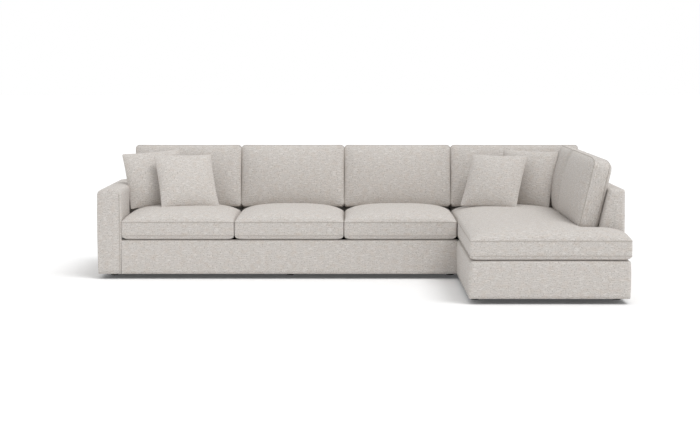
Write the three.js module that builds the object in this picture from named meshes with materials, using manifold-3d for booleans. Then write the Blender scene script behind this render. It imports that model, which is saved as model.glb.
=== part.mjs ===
// Sectional sofa with a chaise. A three-seat sofa unit with one padded arm is joined to a chaise unit.
// The chaise has a back behind it and a return back along its right side, which stops short of the
// open end. Boxed seat and back cushions and four loose pillows lie on it.
// Millimetres, +Z up. The seats face -Y, and the origin is under the middle of the whole sofa.

import * as THREE from 'three';
import { mergeVertices } from 'three/addons/utils/BufferGeometryUtils.js';
import Module from 'manifold-3d';

const wasm = await Module();
wasm.setup();

// Overall sizes
const sofaDepth = 970; // front of the seats to the outside of the back
const armWidth = 162;
const armHeight = 614;
const outerSeatWidth = 774;
const middleSeatWidth = 750;
const chaiseWidth = 991;
const chaiseReach = 1127; // how far the chaise stands in front of the seats
const openEndLength = 254; // part of the chaise in front of the return back
const backHeight = 688;
const backTopThickness = 95;
const backLeanDegrees = 12.5;
const footHeight = 34;
const borderTop = 268; // top of the upholstered base, under the cushions

// Upholstery
const padThickness = 18; // foam and cloth over the frame
const deckThickness = 27;
const lipDepth = 60; // how far the border's padding turns in over the rails
const dustClothThickness = 1.5;
const dustClothInset = 8; // from the outside of the upholstery
const armEdgeRadius = 36;
const backEdgeRadius = 16;
const borderEdgeRadius = 14;
const uprightEdgeRadius = 20; // outside corners of the base, arm and backs, seen from above

// Timber
const boardThickness = 25;
const crossBoardDrop = 46; // cross boards stand this much lower, clear of the springs
const backRailHeight = 70;
const ribPitch = 330; // widest space between the ribs of a back or the posts of the arm
const footBlockHeight = 44;

// Springs
const springWire = 4;
const springWidth = 52;
const springBend = 14; // how far a spring's bend stands out past its straight bars
const springBarPitch = 90;
const sofaSpringPitch = 260;
const chaiseSpringPitch = 150;
const tieWire = 2; // thickness of the wires that tie the springs of a set together
const tieSpacingShare = 1 / 3;

// Feet
const footTopRadius = 32;
const footBottomRadius = 26;
const footSetback = 185; // from the front of each unit to its front feet
const studRadius = 4;
const studLength = 26;
const studPlay = 0.5; // a stud's hole is this much wider all round

// Plates that tie the two units together under their rails
const tiePlateLength = 120;
const tiePlateWidth = 45;
const tiePlateThickness = 3;
const tiePlateInset = 300; // from the front and the back of the sofa unit

// Seat cushions
const seatSeamTop = 392; // height of the top seam above the floor
const seatBoxing = 92; // between the top and the bottom seam
const seatCrown = 78;
const seatOverhang = 8; // the seat cushions stand past the border
const chaiseOverhang = 4; // the chaise cushion stands past the border at its open end
const seatTuck = 12; // space between a seat cushion and the padding of a back
const notchTuck = 20; // space between the chaise cushion and the front of the return back

// Back cushions
const backCushionBottom = 421; // height of their lowest edge, at the back
const backCushionHeight = 446; // along their lean
const backBoxing = 100;
const backCrown = 52;
const backRest = 23; // from the back's padding to the rear seam
const returnSplit = 200; // place of the joint between the return's two cushions, behind the seat fronts
const returnSetback = 70; // from the front of the return back to its front cushion
const cornerPress = 44; // room for the corner cushion's crown beside the return's rear cushion

// Pillows
const pillowSide = 420;
const pillowThickness = 140;
const pillowRim = 8;
const pillowRest = 26; // space between a pillow's middle and the back cushion's crown
const rearPillowAdvance = 60; // a turned pillow stands this much further forward
const frontPillowAdvance = 165; // and the one in front of it this much

// Shape of the cushions
const crownReach = 300; // from a seam to the top of the crown
const notchReach = 90; // the same from the seam in front of the return back
const openSideReach = 200; // and from the seam along the open end's outer side
const drawInShare = 0.016; // how far a cushion's side pulls in at its middle, of its length
const pillowDrawInShare = 0.03;
const crownFullnessShare = 0.5; // 0.5 is a round crown, less is fuller near the seams
const seatFullnessShare = 0.4;
const pillowFullnessShare = 0.62;
const flatBottomShare = 0.15; // where a cushion's underside lies flat, of its whole swell
const cornerCut = 14; // how far a cushion's rounded corner lies inside the square one, each way
const pillowCornerCut = 7;

// Clearances and fineness
const fit = 0.3; // between pieces that touch
const cushionGap = 2; // from one cushion's corner to its neighbour's
const overrun = 10; // how far a cutting solid passes the piece that it cuts
const weld = 0.001; // corners closer than this are one corner
const roundSteps = 4;
const crownSteps = 5;
const notchSteps = 4; // across the open end's outer part, and up to the notch
const openEndSteps = 5; // along the open end
const runSteps = 4; // from the notch to the start of the rear crown
const footSides = 12;

// Places that follow from the sizes
const backLean = THREE.MathUtils.degToRad(backLeanDegrees);
const sofaFront = 0;
const sofaLeft = 0;
const seatLeft = armWidth;
const jointX = seatLeft + 2 * outerSeatWidth + middleSeatWidth; // between the two units
const rightX = jointX + chaiseWidth;
const chaiseFront = sofaFront - chaiseReach;
const returnFront = chaiseFront + openEndLength;
const underside = footHeight + dustClothThickness + fit; // bottom of the frame and of its covers
const springBottom = borderTop - deckThickness - fit - springWire;
const railTop = springBottom - fit;
const skin = padThickness + fit; // from the outside of the upholstery to the timber inside it
const chaiseLeft = jointX + fit;
const sofaRight = jointX - fit;

const xAxis = new THREE.Vector3(1, 0, 0);
const yAxis = new THREE.Vector3(0, 1, 0);
const zAxis = new THREE.Vector3(0, 0, 1);

const cloth = new THREE.MeshStandardMaterial({ color: 0xc9c5be, roughness: 0.95, metalness: 0 });
const deckCloth = new THREE.MeshStandardMaterial({ color: 0x9d978e, roughness: 0.95, metalness: 0 });
const blackCloth = new THREE.MeshStandardMaterial({ color: 0x1d1d1e, roughness: 0.98, metalness: 0 });
const timber = new THREE.MeshStandardMaterial({ color: 0xb58f63, roughness: 0.75, metalness: 0 });
const blackWood = new THREE.MeshStandardMaterial({ color: 0x1a1817, roughness: 0.6, metalness: 0 });
const steel = new THREE.MeshStandardMaterial({ color: 0x8a8c8f, roughness: 0.4, metalness: 0.9 });

const sofa = new THREE.Group();

function add(name, geometry, material) {
  const mesh = new THREE.Mesh(geometry, material);
  mesh.name = name;
  sofa.add(mesh);
}

// Solids

function toSolid(geometry) {
  const bare = geometry.index ? geometry.toNonIndexed() : geometry.clone();
  bare.deleteAttribute('normal');
  bare.deleteAttribute('uv');
  const merged = mergeVertices(bare, weld);
  return new wasm.Manifold(new wasm.Mesh({
    numProp: 3,
    vertProperties: merged.attributes.position.array,
    triVerts: new Uint32Array(merged.index.array),
  }));
}

function toGeometry(solid) {
  const { vertProperties, triVerts } = solid.getMesh();
  const geometry = new THREE.BufferGeometry();
  geometry.setAttribute('position', new THREE.BufferAttribute(new Float32Array(vertProperties), 3));
  geometry.setIndex(new THREE.BufferAttribute(new Uint32Array(triVerts), 1));
  return geometry;
}

const join = (solids) => solids.reduce((a, b) => a.add(b));
const cut = (body, ...tools) => tools.reduce((a, b) => a.subtract(b), body);

function block([x0, x1], [y0, y1], [z0, z1]) {
  const box = new THREE.BoxGeometry(x1 - x0, y1 - y0, z1 - z0);
  return toSolid(box.translate((x0 + x1) / 2, (y0 + y1) / 2, (z0 + z1) / 2));
}

// Evenly spaced places from one end to the other, no further apart than the pitch.
function spread(from, to, pitch) {
  const count = Math.max(1, Math.ceil((to - from) / pitch));
  return Array.from({ length: count + 1 }, (_, i) => from + (i / count) * (to - from));
}

// A closed outline through corners, each [across, up, radius].
function outline(corners) {
  const shape = new THREE.Shape();
  corners.forEach(([x, y, radius = 0], i) => {
    const here = new THREE.Vector2(x, y);
    const toward = ([a, b]) => new THREE.Vector2(a, b).sub(here).setLength(radius).add(here);
    const start = toward(corners.at(i - 1));
    const end = toward(corners[(i + 1) % corners.length]);
    if (i === 0) shape.moveTo(start.x, start.y);
    else shape.lineTo(start.x, start.y);
    if (radius > 0) shape.quadraticCurveTo(here.x, here.y, end.x, end.y);
  });
  shape.closePath();
  return shape;
}

const extrude = (shape, depth) => new THREE.ExtrudeGeometry(shape, {
  depth,
  bevelEnabled: false,
  curveSegments: roundSteps,
});

// An outline drawn in Y and Z, carried along X.
function alongX(corners, [x0, x1]) {
  const turn = new THREE.Matrix4().makeBasis(yAxis, zAxis, xAxis);
  return toSolid(extrude(outline(corners), x1 - x0).applyMatrix4(turn).translate(x0, 0, 0));
}

// An outline drawn in X and Z, carried along Y.
function alongY(corners, [y0, y1]) {
  const turn = new THREE.Matrix4().makeBasis(xAxis, zAxis, yAxis.clone().negate());
  return toSolid(extrude(outline(corners), y1 - y0).applyMatrix4(turn).translate(0, y1, 0));
}

// An outline drawn in X and Y, carried up Z.
function alongZ(corners, [z0, z1]) {
  return toSolid(extrude(outline(corners), z1 - z0).translate(0, 0, z0));
}

// What the rounded upright corners of each unit leave.
const tall = [underside - overrun, backHeight + overrun];
const sofaEnvelope = alongZ([
  [sofaLeft, sofaFront, uprightEdgeRadius],
  [sofaRight, sofaFront],
  [sofaRight, sofaDepth],
  [sofaLeft, sofaDepth, uprightEdgeRadius],
], tall);
const chaiseEnvelope = alongZ([
  [chaiseLeft, chaiseFront, uprightEdgeRadius],
  [rightX, chaiseFront, uprightEdgeRadius],
  [rightX, sofaDepth, uprightEdgeRadius],
  [chaiseLeft, sofaDepth],
], tall);

// Backs. The inside face leans, so a back is thicker lower down.

const backThickness = (z) => backTopThickness + (backHeight - z) * Math.tan(backLean);
const slopePad = padThickness / Math.cos(backLean);
const hollowTop = backHeight - padThickness;
const postDepth = backThickness(railTop) - slopePad - fit; // outside of the sofa to the posts' seat side
const rearRailFront = sofaDepth - postDepth - fit - boardThickness;
const rearRail = [rearRailFront, rearRailFront + boardThickness];
const returnRail = [rightX - postDepth - fit - boardThickness, rightX - postDepth - fit];

// The corners of a back's cover, hollow and posts. "outside" is the place of its outside face.
function backOutlines(outside) {
  const at = (thickness) => outside - thickness;
  const inside = (z) => at(backThickness(z) - slopePad);
  return {
    cover: [
      [at(0), underside],
      [at(0), backHeight, backEdgeRadius],
      [at(backTopThickness), backHeight, backEdgeRadius],
      [at(backThickness(borderTop + fit)), borderTop + fit],
      [at(padThickness), borderTop + fit],
      [at(padThickness), underside],
    ],
    hollow: [
      [at(padThickness), underside - overrun],
      [at(padThickness), hollowTop],
      [inside(hollowTop), hollowTop],
      [inside(borderTop), borderTop],
      [inside(borderTop), underside - overrun],
    ],
    post: [
      [at(skin), underside],
      [at(skin), hollowTop - fit],
      [inside(hollowTop - fit) + fit, hollowTop - fit],
      [inside(railTop) + fit, railTop],
      [inside(railTop) + fit, underside],
    ],
  };
}

// A back's frame: ribs joined by a bottom, a middle and a top rail, all within the posts' outline.
function backFrame(carry, post, [from, to]) {
  const ribs = spread(from, to - boardThickness, ribPitch).map((x) => carry(post, [x, x + boardThickness]));
  const whole = carry(post, [from, to]);
  const wide = [-rightX, 2 * rightX];
  const levels = [
    [underside, underside + footBlockHeight],
    [(railTop + hollowTop - backRailHeight) / 2, (railTop + hollowTop + backRailHeight) / 2],
    [hollowTop - backRailHeight, hollowTop],
  ];
  const rails = levels.map((zs) => whole.intersect(block(wide, wide, zs)));
  return join([...ribs, ...rails]);
}

// Feet, and the holes for their studs

const footHalf = footTopRadius;
const leftFeetX = chaiseLeft + skin + footHalf;
const middleFeetX = seatLeft + outerSeatWidth + middleSeatWidth / 2;
const frontFeetY = sofaFront + footSetback + footHalf;
const chaiseFrontFeetY = chaiseFront + footSetback + footHalf;
const middleFeetY = sofaFront + skin + footHalf;
const rearFeetY = sofaDepth - skin - footHalf;
const rightFeetX = rightX - skin - footHalf;
const footPlaces = {
  sofa_foot_front_left: [armWidth / 2, frontFeetY],
  sofa_foot_front_middle: [middleFeetX, frontFeetY],
  sofa_foot_front_right: [sofaRight - footHalf, frontFeetY],
  sofa_foot_rear_left: [armWidth / 2, rearFeetY],
  sofa_foot_rear_middle: [middleFeetX, rearFeetY],
  sofa_foot_rear_right: [sofaRight - footHalf, rearFeetY],
  chaise_foot_front_left: [leftFeetX, chaiseFrontFeetY],
  chaise_foot_front_right: [rightFeetX, chaiseFrontFeetY],
  chaise_foot_middle_left: [leftFeetX, middleFeetY],
  chaise_foot_middle_right: [rightFeetX, middleFeetY],
  chaise_foot_rear_left: [leftFeetX, rearFeetY],
  chaise_foot_rear_right: [rightFeetX, rearFeetY],
};

const studHoles = join(Object.values(footPlaces).map(([x, y]) => {
  const radius = studRadius + studPlay;
  const bottom = footHeight - overrun;
  const top = footHeight + studLength + studPlay;
  const hole = new THREE.CylinderGeometry(radius, radius, top - bottom, footSides);
  return toSolid(hole.rotateX(Math.PI / 2).translate(x, y, (bottom + top) / 2));
}));

for (const [name, [x, y]] of Object.entries(footPlaces)) {
  const top = footHeight - fit;
  const profile = [
    [0, 0],
    [footBottomRadius, 0],
    [footTopRadius, top],
    [studRadius, top],
    [studRadius, top + studLength],
    [0, top + studLength],
  ].map(([radius, z]) => new THREE.Vector2(radius, z));
  const foot = new THREE.LatheGeometry(profile, footSides).rotateX(Math.PI / 2).translate(x, y, 0);
  add(name, toGeometry(toSolid(foot)), blackWood);
}

// A block that takes a foot's stud. It is as long as the foot is wide, or runs on from a rail to it.
function footBlock(name, from = footPlaces[name][1] - footHalf) {
  const [x, y] = footPlaces[name];
  const heights = [underside, underside + footBlockHeight];
  return block([x - footHalf, x + footHalf], [from, y + footHalf], heights);
}

// The seat box's border: padding over a rail, turned in over its top. "carry" draws it along its rail,
// "outside" is the place of its outside face and "inward" is 1 or -1, the way from it to the seat.
function border(carry, outside, inward, run) {
  const at = (depth) => outside + inward * depth;
  return carry([
    [at(0), underside],
    [at(0), borderTop, borderEdgeRadius],
    [at(lipDepth), borderTop],
    [at(lipDepth), borderTop - deckThickness],
    [at(padThickness), borderTop - deckThickness],
    [at(padThickness), underside],
  ], run);
}

// Springs. One spring is a flat wire that winds from side to side, drawn along Y from zero.

const tieAt = (place) => [place - tieWire / 2, place + tieWire / 2];

function windingWire(length) {
  const half = springWidth / 2;
  const wire = springWire / 2;
  const bars = spread(wire, length - wire, springBarPitch);
  const path = [new THREE.Vector2(-half + springBend, wire)];
  bars.forEach((y, i) => {
    const side = i % 2 === 0 ? 1 : -1;
    if (i > 0) path.push(new THREE.Vector2(-side * half, (y + bars[i - 1]) / 2));
    if (i > 0) path.push(new THREE.Vector2(-side * (half - springBend), y));
    path.push(new THREE.Vector2(side * (half - springBend), y));
  });
  // The wire's two edges: each point moved square to the path, further where the path bends.
  const edge = (way) => path.map((point, i) => {
    const before = point.clone().sub(path[i - 1] ?? point).normalize();
    const after = (path[i + 1] ?? point).clone().sub(point).normalize();
    const along = before.clone().add(after).normalize();
    const stretch = Math.max(along.dot(after), along.dot(before));
    return [point.x - (way * wire * along.y) / stretch, point.y + (way * wire * along.x) / stretch];
  });
  return extrude(outline([...edge(-1), ...edge(1).reverse()]), springWire);
}

// Springs that lie side by side and are joined by tie wires. Each is [x, y, length, turned].
function springSet(places, ties) {
  const springs = places.map(([x, y, length, turned]) => {
    const wire = windingWire(length);
    if (turned) wire.rotateZ(-Math.PI / 2);
    return toSolid(wire.translate(x, y, springBottom));
  });
  const heights = tieAt(springBottom + springWire / 2);
  return join([...springs, ...ties.map(([xs, ys]) => block(xs, ys, heights))]);
}

// Sofa unit

function addSofaUnit() {
  const inner = [seatLeft + fit, sofaRight];
  const frontRail = [sofaFront + skin, sofaFront + skin + boardThickness];
  const leftRail = [inner[0], inner[0] + boardThickness];
  const rightRail = [inner[1] - boardThickness, inner[1]];
  const between = [frontRail[1] + fit, rearRail[0] - fit];
  const railHeights = [underside, railTop];

  const armSection = (inset, radius) => [
    [sofaLeft + inset, underside - (inset > 0 ? overrun : 0)],
    [sofaLeft + inset, armHeight - inset, radius],
    [armWidth - inset, armHeight - inset, radius],
    [armWidth - inset, underside - (inset > 0 ? overrun : 0)],
  ];
  const arm = alongY(armSection(0, armEdgeRadius), [sofaFront, sofaDepth]).intersect(sofaEnvelope);
  const armHollow = alongY(
    armSection(padThickness, armEdgeRadius - padThickness),
    [sofaFront + padThickness, sofaDepth - padThickness],
  );
  add('arm_cover', toGeometry(cut(arm, armHollow)), cloth);

  // The arm's frame is a box of boards with posts between them.
  const armBoards = alongY([
    [sofaLeft + skin, underside],
    [sofaLeft + skin, armHeight - skin, armEdgeRadius - padThickness],
    [armWidth - skin, armHeight - skin, armEdgeRadius - padThickness],
    [armWidth - skin, underside],
  ], [sofaFront + skin, sofaDepth - skin]);
  const posts = spread(sofaFront + skin, sofaDepth - skin - boardThickness, ribPitch);
  const windows = posts.slice(1).map((y, i) => block(
    [sofaLeft, armWidth],
    [posts[i] + boardThickness, y],
    [underside + footBlockHeight, armHeight - skin - boardThickness],
  ));
  add('arm_frame', toGeometry(cut(armBoards, ...windows, studHoles)), timber);

  add('sofa_front_border', toGeometry(border(alongX, sofaFront, 1, inner)), cloth);
  const back = backOutlines(sofaDepth);
  const hollowRun = [inner[0] + padThickness, inner[1] - padThickness];
  const cover = cut(alongX(back.cover, inner), alongX(back.hollow, hollowRun));
  add('sofa_back_cover', toGeometry(cover), cloth);
  const frame = backFrame(alongX, back.post, [inner[0] + skin, inner[1] - skin]);
  add('sofa_back_frame', toGeometry(cut(frame, studHoles)), timber);

  const frontFeet = ['sofa_foot_front_middle', 'sofa_foot_front_right'];
  const blocks = frontFeet.map((foot) => footBlock(foot, frontRail[0]));
  const front = join([block(inner, frontRail, railHeights), ...blocks]);
  add('sofa_front_rail', toGeometry(cut(front, studHoles)), timber);
  add('sofa_rear_rail', toGeometry(block(inner, rearRail, railHeights)), timber);
  add('sofa_left_rail', toGeometry(block(leftRail, between, railHeights)), timber);
  const [rightFootX, rightFootY] = footPlaces.sofa_foot_front_right;
  const blockRoom = block(
    [rightFootX - footHalf - fit, sofaRight + overrun],
    [sofaFront, rightFootY + footHalf + fit],
    [underside - overrun, underside + footBlockHeight + fit],
  );
  add('sofa_right_rail', toGeometry(cut(block(rightRail, between, railHeights), blockRoom)), timber);
  const crossHeights = [underside, railTop - crossBoardDrop];
  [seatLeft + outerSeatWidth, seatLeft + outerSeatWidth + middleSeatWidth].forEach((x, i) => {
    const xs = [x - boardThickness / 2, x + boardThickness / 2];
    add(`sofa_cross_board_${i + 1}`, toGeometry(block(xs, between, crossHeights)), timber);
  });

  const springEnds = [sofaFront + skin + fit, rearRail[1]];
  const springSpan = springEnds[1] - springEnds[0];
  const springsX = spread(inner[0] + sofaSpringPitch / 2, inner[1] - sofaSpringPitch / 2, sofaSpringPitch);
  const places = springsX.map((x) => [x, springEnds[0], springSpan, false]);
  const tieX = [springsX[0] - springWidth / 2, springsX.at(-1) + springWidth / 2];
  const tiesY = [tieSpacingShare, 1 - tieSpacingShare].map((share) => springEnds[0] + share * springSpan);
  const springs = springSet(places, tiesY.map((y) => [tieX, tieAt(y)]));
  add('sofa_springs', toGeometry(springs), steel);
  const deckY = [sofaFront + lipDepth + fit, rearRail[1]];
  add('sofa_deck', toGeometry(block(inner, deckY, [borderTop - deckThickness, borderTop])), deckCloth);

  const dustX = [sofaLeft + dustClothInset, sofaRight - dustClothInset];
  const dustY = [sofaFront + dustClothInset, sofaDepth - dustClothInset];
  const dust = block(dustX, dustY, [footHeight, footHeight + dustClothThickness]);
  add('sofa_dust_cloth', toGeometry(cut(dust, studHoles)), blackCloth);
}

// Chaise unit, with the back behind it and the return back along its right side

function addChaiseUnit() {
  const frontRail = [chaiseFront + skin, chaiseFront + skin + boardThickness];
  const leftRail = [chaiseLeft + skin, chaiseLeft + skin + boardThickness];
  const outerRail = [rightX - skin - boardThickness, rightX - skin];
  const between = [frontRail[1] + fit, rearRail[0] - fit];
  const railHeights = [underside, railTop];
  const endPanel = [returnFront, returnFront + padThickness];

  // Borders. The side ones run behind the front one, and the left one goes on to the back.
  const sideStart = chaiseFront + lipDepth + fit;
  const front = border(alongX, chaiseFront, 1, [chaiseLeft, rightX]).intersect(chaiseEnvelope);
  add('chaise_front_border', toGeometry(front), cloth);
  const lipRoom = block(
    [chaiseLeft + padThickness, rightX],
    [rearRail[1], sofaDepth],
    [borderTop - deckThickness - overrun, borderTop + overrun],
  );
  const left = border(alongY, chaiseLeft, 1, [sideStart, sofaDepth - padThickness - fit]);
  const leftWall = block(
    [chaiseLeft, chaiseLeft + padThickness],
    [chaiseFront + padThickness + fit, sideStart + fit],
    [underside, borderTop - deckThickness - fit],
  );
  add('chaise_left_border', toGeometry(join([cut(left, lipRoom), leftWall])), cloth);
  const right = border(alongY, rightX, -1, [sideStart, returnFront - fit]);
  const rightWall = block(
    [rightX - padThickness, rightX],
    [chaiseFront + padThickness + fit, sideStart + fit],
    [underside, borderTop - deckThickness - fit],
  );
  add('chaise_right_border', toGeometry(join([right, rightWall])), cloth);

  // Covers of the backs. The return's cover ends at the rear one's leaning face.
  const rear = backOutlines(sofaDepth);
  const rearRun = [chaiseLeft, rightX];
  const rearCover = alongX(rear.cover, rearRun).intersect(chaiseEnvelope);
  const rearHollow = alongX(rear.hollow, [chaiseLeft + padThickness, rightX - padThickness]);
  add('chaise_back_cover', toGeometry(cut(rearCover, rearHollow)), cloth);
  const side = backOutlines(rightX);
  const returnWhole = alongY(side.cover, [returnFront, sofaDepth - fit]);
  const rearFace = backOutlines(sofaDepth - fit).cover.map(([y, z]) => [y, z]);
  const rearRoom = alongX(rearFace, [jointX, rightX + overrun]);
  const cornerRoom = block(
    [jointX, rightX + overrun],
    [sofaDepth - backTopThickness, sofaDepth + overrun],
    [underside - overrun, backHeight + overrun],
  );
  const returnHollow = alongY(side.hollow, [endPanel[1], sofaDepth]);
  add('return_back_cover', toGeometry(cut(returnWhole, rearRoom, cornerRoom, returnHollow)), cloth);

  const rearFrame = backFrame(alongX, rear.post, [chaiseLeft + skin, rightX - skin]);
  add('chaise_back_frame', toGeometry(cut(rearFrame, studHoles)), timber);
  const returnFrame = backFrame(alongY, side.post, [endPanel[1] + fit, rearRail[0] - fit]);
  add('return_back_frame', toGeometry(cut(returnFrame, studHoles)), timber);

  // Seat box
  const chaiseFeet = ['chaise_foot_front_left', 'chaise_foot_front_right'];
  const frontBlocks = chaiseFeet.map((foot) => footBlock(foot, frontRail[0]));
  const frontBoard = block([leftRail[0], outerRail[1]], frontRail, railHeights);
  add('chaise_front_rail', toGeometry(cut(join([frontBoard, ...frontBlocks]), studHoles)), timber);
  add('chaise_rear_rail', toGeometry(block([leftRail[0], outerRail[1]], rearRail, railHeights)), timber);
  const blockTop = underside + footBlockHeight + fit;
  const blockEnd = footPlaces.chaise_foot_front_left[1] + footHalf + fit;
  const blockRoom = block([jointX, rightX], [chaiseFront, blockEnd], [underside - overrun, blockTop]);
  const leftBlock = footBlock('chaise_foot_middle_left');
  const leftBoard = cut(block(leftRail, between, railHeights), blockRoom);
  add('chaise_left_rail', toGeometry(cut(join([leftBoard, leftBlock]), studHoles)), timber);
  add('return_rail', toGeometry(block(returnRail, between, railHeights)), timber);
  const outerRun = [between[0], endPanel[1]];
  add('open_end_rail', toGeometry(cut(block(outerRail, outerRun, railHeights), blockRoom)), timber);
  const crossX = [leftRail[1] + fit, returnRail[0] - fit];
  [1 / 3, 2 / 3].forEach((share, i) => {
    const middle = between[0] + share * (between[1] - between[0]);
    const ys = [middle - boardThickness / 2, middle + boardThickness / 2];
    const name = `chaise_cross_board_${i + 1}`;
    add(name, toGeometry(block(crossX, ys, [underside, railTop - crossBoardDrop])), timber);
  });

  // The springs run across. In the open end they reach the outer rail.
  const springLeft = chaiseLeft + skin + fit;
  const firstY = frontRail[1] + chaiseSpringPitch / 2;
  const lastY = rearRail[0] - chaiseSpringPitch / 2;
  const springsY = spread(firstY, lastY, chaiseSpringPitch);
  const places = springsY.map((y) => {
    const open = y + springWidth / 2 < returnFront;
    const springRight = open ? outerRail[1] - fit : returnRail[1];
    return [springLeft, y, springRight - springLeft, true];
  });
  const tiesX = [tieSpacingShare, 1 - tieSpacingShare]
    .map((share) => springLeft + share * (returnRail[1] - springLeft));
  const tieY = [springsY[0] - springWidth / 2, springsY.at(-1) + springWidth / 2];
  const ties = tiesX.map((x) => [tieAt(x), tieY]);
  add('chaise_springs', toGeometry(springSet(places, ties)), steel);

  // The deck fills the space between the borders' lips and goes under the back and the return back.
  const deckHeights = [borderTop - deckThickness, borderTop];
  const deckLeft = chaiseLeft + lipDepth + fit;
  const deckMain = block([deckLeft, returnRail[1]], [chaiseFront + lipDepth + fit, rearRail[1]], deckHeights);
  const deckOpen = block(
    [deckLeft, rightX - lipDepth - fit],
    [chaiseFront + lipDepth + fit, returnFront - fit],
    deckHeights,
  );
  add('chaise_deck', toGeometry(join([deckMain, deckOpen])), deckCloth);

  const dustX = [chaiseLeft + dustClothInset, rightX - dustClothInset];
  const dustY = [chaiseFront + dustClothInset, sofaDepth - dustClothInset];
  const dust = block(dustX, dustY, [footHeight, footHeight + dustClothThickness]);
  add('chaise_dust_cloth', toGeometry(cut(dust, studHoles)), blackCloth);
}

// Plates that tie the two units together, under the rails on both sides of their joint
function addTiePlates() {
  const top = footHeight - fit;
  const places = { tie_plate_front: sofaFront + tiePlateInset, tie_plate_rear: sofaDepth - tiePlateInset };
  for (const [name, y] of Object.entries(places)) {
    const xs = [jointX - tiePlateLength / 2, jointX + tiePlateLength / 2];
    const ys = [y - tiePlateWidth / 2, y + tiePlateWidth / 2];
    add(name, toGeometry(block(xs, ys, [top - tiePlateThickness, top])), steel);
  }
}

// Cushions

// Places of the grid's lines from one seam to the other, closer together where the crown is steep.
function gridLines(length) {
  const reach = Math.min(crownReach, length / 2);
  const near = Array.from({ length: crownSteps + 1 }, (_, i) => {
    const turn = (i / crownSteps) * (Math.PI / 2);
    return reach * (1 - Math.cos(turn));
  });
  const far = near.map((place) => length - place).reverse();
  return [...near, ...far].filter((place, i, all) => i === 0 || place - all[i - 1] > weld);
}

// How far the cloth has risen at a distance from a seam: a quarter of an ellipse, then level.
function rise(distance, reach, fullness) {
  const left = 1 - Math.min(Math.max(distance / reach, 0), 1);
  return (1 - left * left) ** fullness;
}

// Rise above a rectangle's four seams, from 0 on a seam to 1.
function crownOver(x, y, width, length, fullness, farReach = crownReach) {
  const reachX = Math.min(crownReach, width / 2);
  const reachY = Math.min(crownReach, length / 2);
  return rise(x, reachX, fullness) * rise(width - x, Math.min(farReach, width / 2), fullness)
    * rise(y, reachY, fullness) * rise(length - y, reachY, fullness);
}

// Rounds a rectangle's corners off and draws its sides in between them.
function drawnIn(x, y, width, length, share = drawInShare, cut = cornerCut) {
  const s = (2 * x) / width - 1;
  const t = (2 * y) / length - 1;
  const fromX = Math.min(x, width - x) / cut;
  const fromY = Math.min(y, length - y) / cut;
  const cutX = cut * Math.exp(-fromX - 2 * fromY);
  const cutY = cut * Math.exp(-2 * fromX - fromY);
  const pullX = (width / 2) * share * (1 - t * t) * s ** 3;
  const pullY = (length / 2) * share * (1 - s * s) * t ** 3;
  return [x - Math.sign(s) * cutX - pullX, y - Math.sign(t) * cutY - pullY];
}

// A cushion's closed skin over a grid. "heights" gives the underside and the top at a grid point,
// "place" puts a point of the cushion in the room, and "kept" says which of the grid's cells it has.
function padSkin(xs, ys, heights, place, kept = () => true) {
  const points = [];
  const faces = [];
  const seen = new Map();
  const corner = (i, j, level) => {
    const key = `${i} ${j} ${level}`;
    if (!seen.has(key)) {
      seen.set(key, points.length);
      points.push(place(xs[i], ys[j], heights(xs[i], ys[j])[level]));
    }
    return seen.get(key);
  };
  const quad = (a, b, c, d) => faces.push(a, b, c, a, c, d);
  const has = (i, j) => i >= 0 && j >= 0 && i < xs.length - 1 && j < ys.length - 1
    && kept((xs[i] + xs[i + 1]) / 2, (ys[j] + ys[j + 1]) / 2);
  const wall = (i, j, k, l) => quad(corner(i, j, 0), corner(k, l, 0), corner(k, l, 1), corner(i, j, 1));
  for (let i = 0; i < xs.length - 1; i += 1) {
    for (let j = 0; j < ys.length - 1; j += 1) {
      if (has(i, j)) {
        quad(corner(i, j, 1), corner(i + 1, j, 1), corner(i + 1, j + 1, 1), corner(i, j + 1, 1));
        quad(corner(i, j, 0), corner(i, j + 1, 0), corner(i + 1, j + 1, 0), corner(i + 1, j, 0));
        if (!has(i, j - 1)) wall(i, j, i + 1, j);
        if (!has(i + 1, j)) wall(i + 1, j, i + 1, j + 1);
        if (!has(i, j + 1)) wall(i + 1, j + 1, i, j + 1);
        if (!has(i - 1, j)) wall(i, j + 1, i, j);
      }
    }
  }
  const geometry = new THREE.BufferGeometry();
  const numbers = new Float32Array(points.flatMap((point) => point.toArray()));
  geometry.setAttribute('position', new THREE.BufferAttribute(numbers, 3));
  geometry.setIndex(faces);
  return geometry;
}

// A seat cushion's underside and top where its crown has risen by "up": the underside swells out of
// its seam and then lies flat on the deck.
function seatHeights(up, crown) {
  const seamBottom = seatSeamTop - seatBoxing;
  const flat = borderTop + fit;
  const swell = ((seamBottom - flat) / flatBottomShare) * up;
  return [Math.max(flat, seamBottom - swell), seatSeamTop + crown * up];
}

const seatRear = sofaDepth - backThickness(borderTop) - seatTuck;

function addSeatCushions() {
  const widths = [outerSeatWidth, middleSeatWidth, outerSeatWidth];
  let left = seatLeft;
  widths.forEach((seatWidth, i) => {
    const width = seatWidth - cushionGap;
    const length = seatRear - sofaFront + seatOverhang;
    const corner = [left + cushionGap / 2, sofaFront - seatOverhang];
    const heights = (x, y) => seatHeights(crownOver(x, y, width, length, seatFullnessShare), seatCrown);
    const place = (x, y, z) => {
      const [px, py] = drawnIn(x, y, width, length);
      return new THREE.Vector3(corner[0] + px, corner[1] + py, z);
    };
    add(`seat_cushion_${i + 1}`, padSkin(gridLines(width), gridLines(length), heights, place), cloth);
    left += seatWidth;
  });
}

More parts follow.
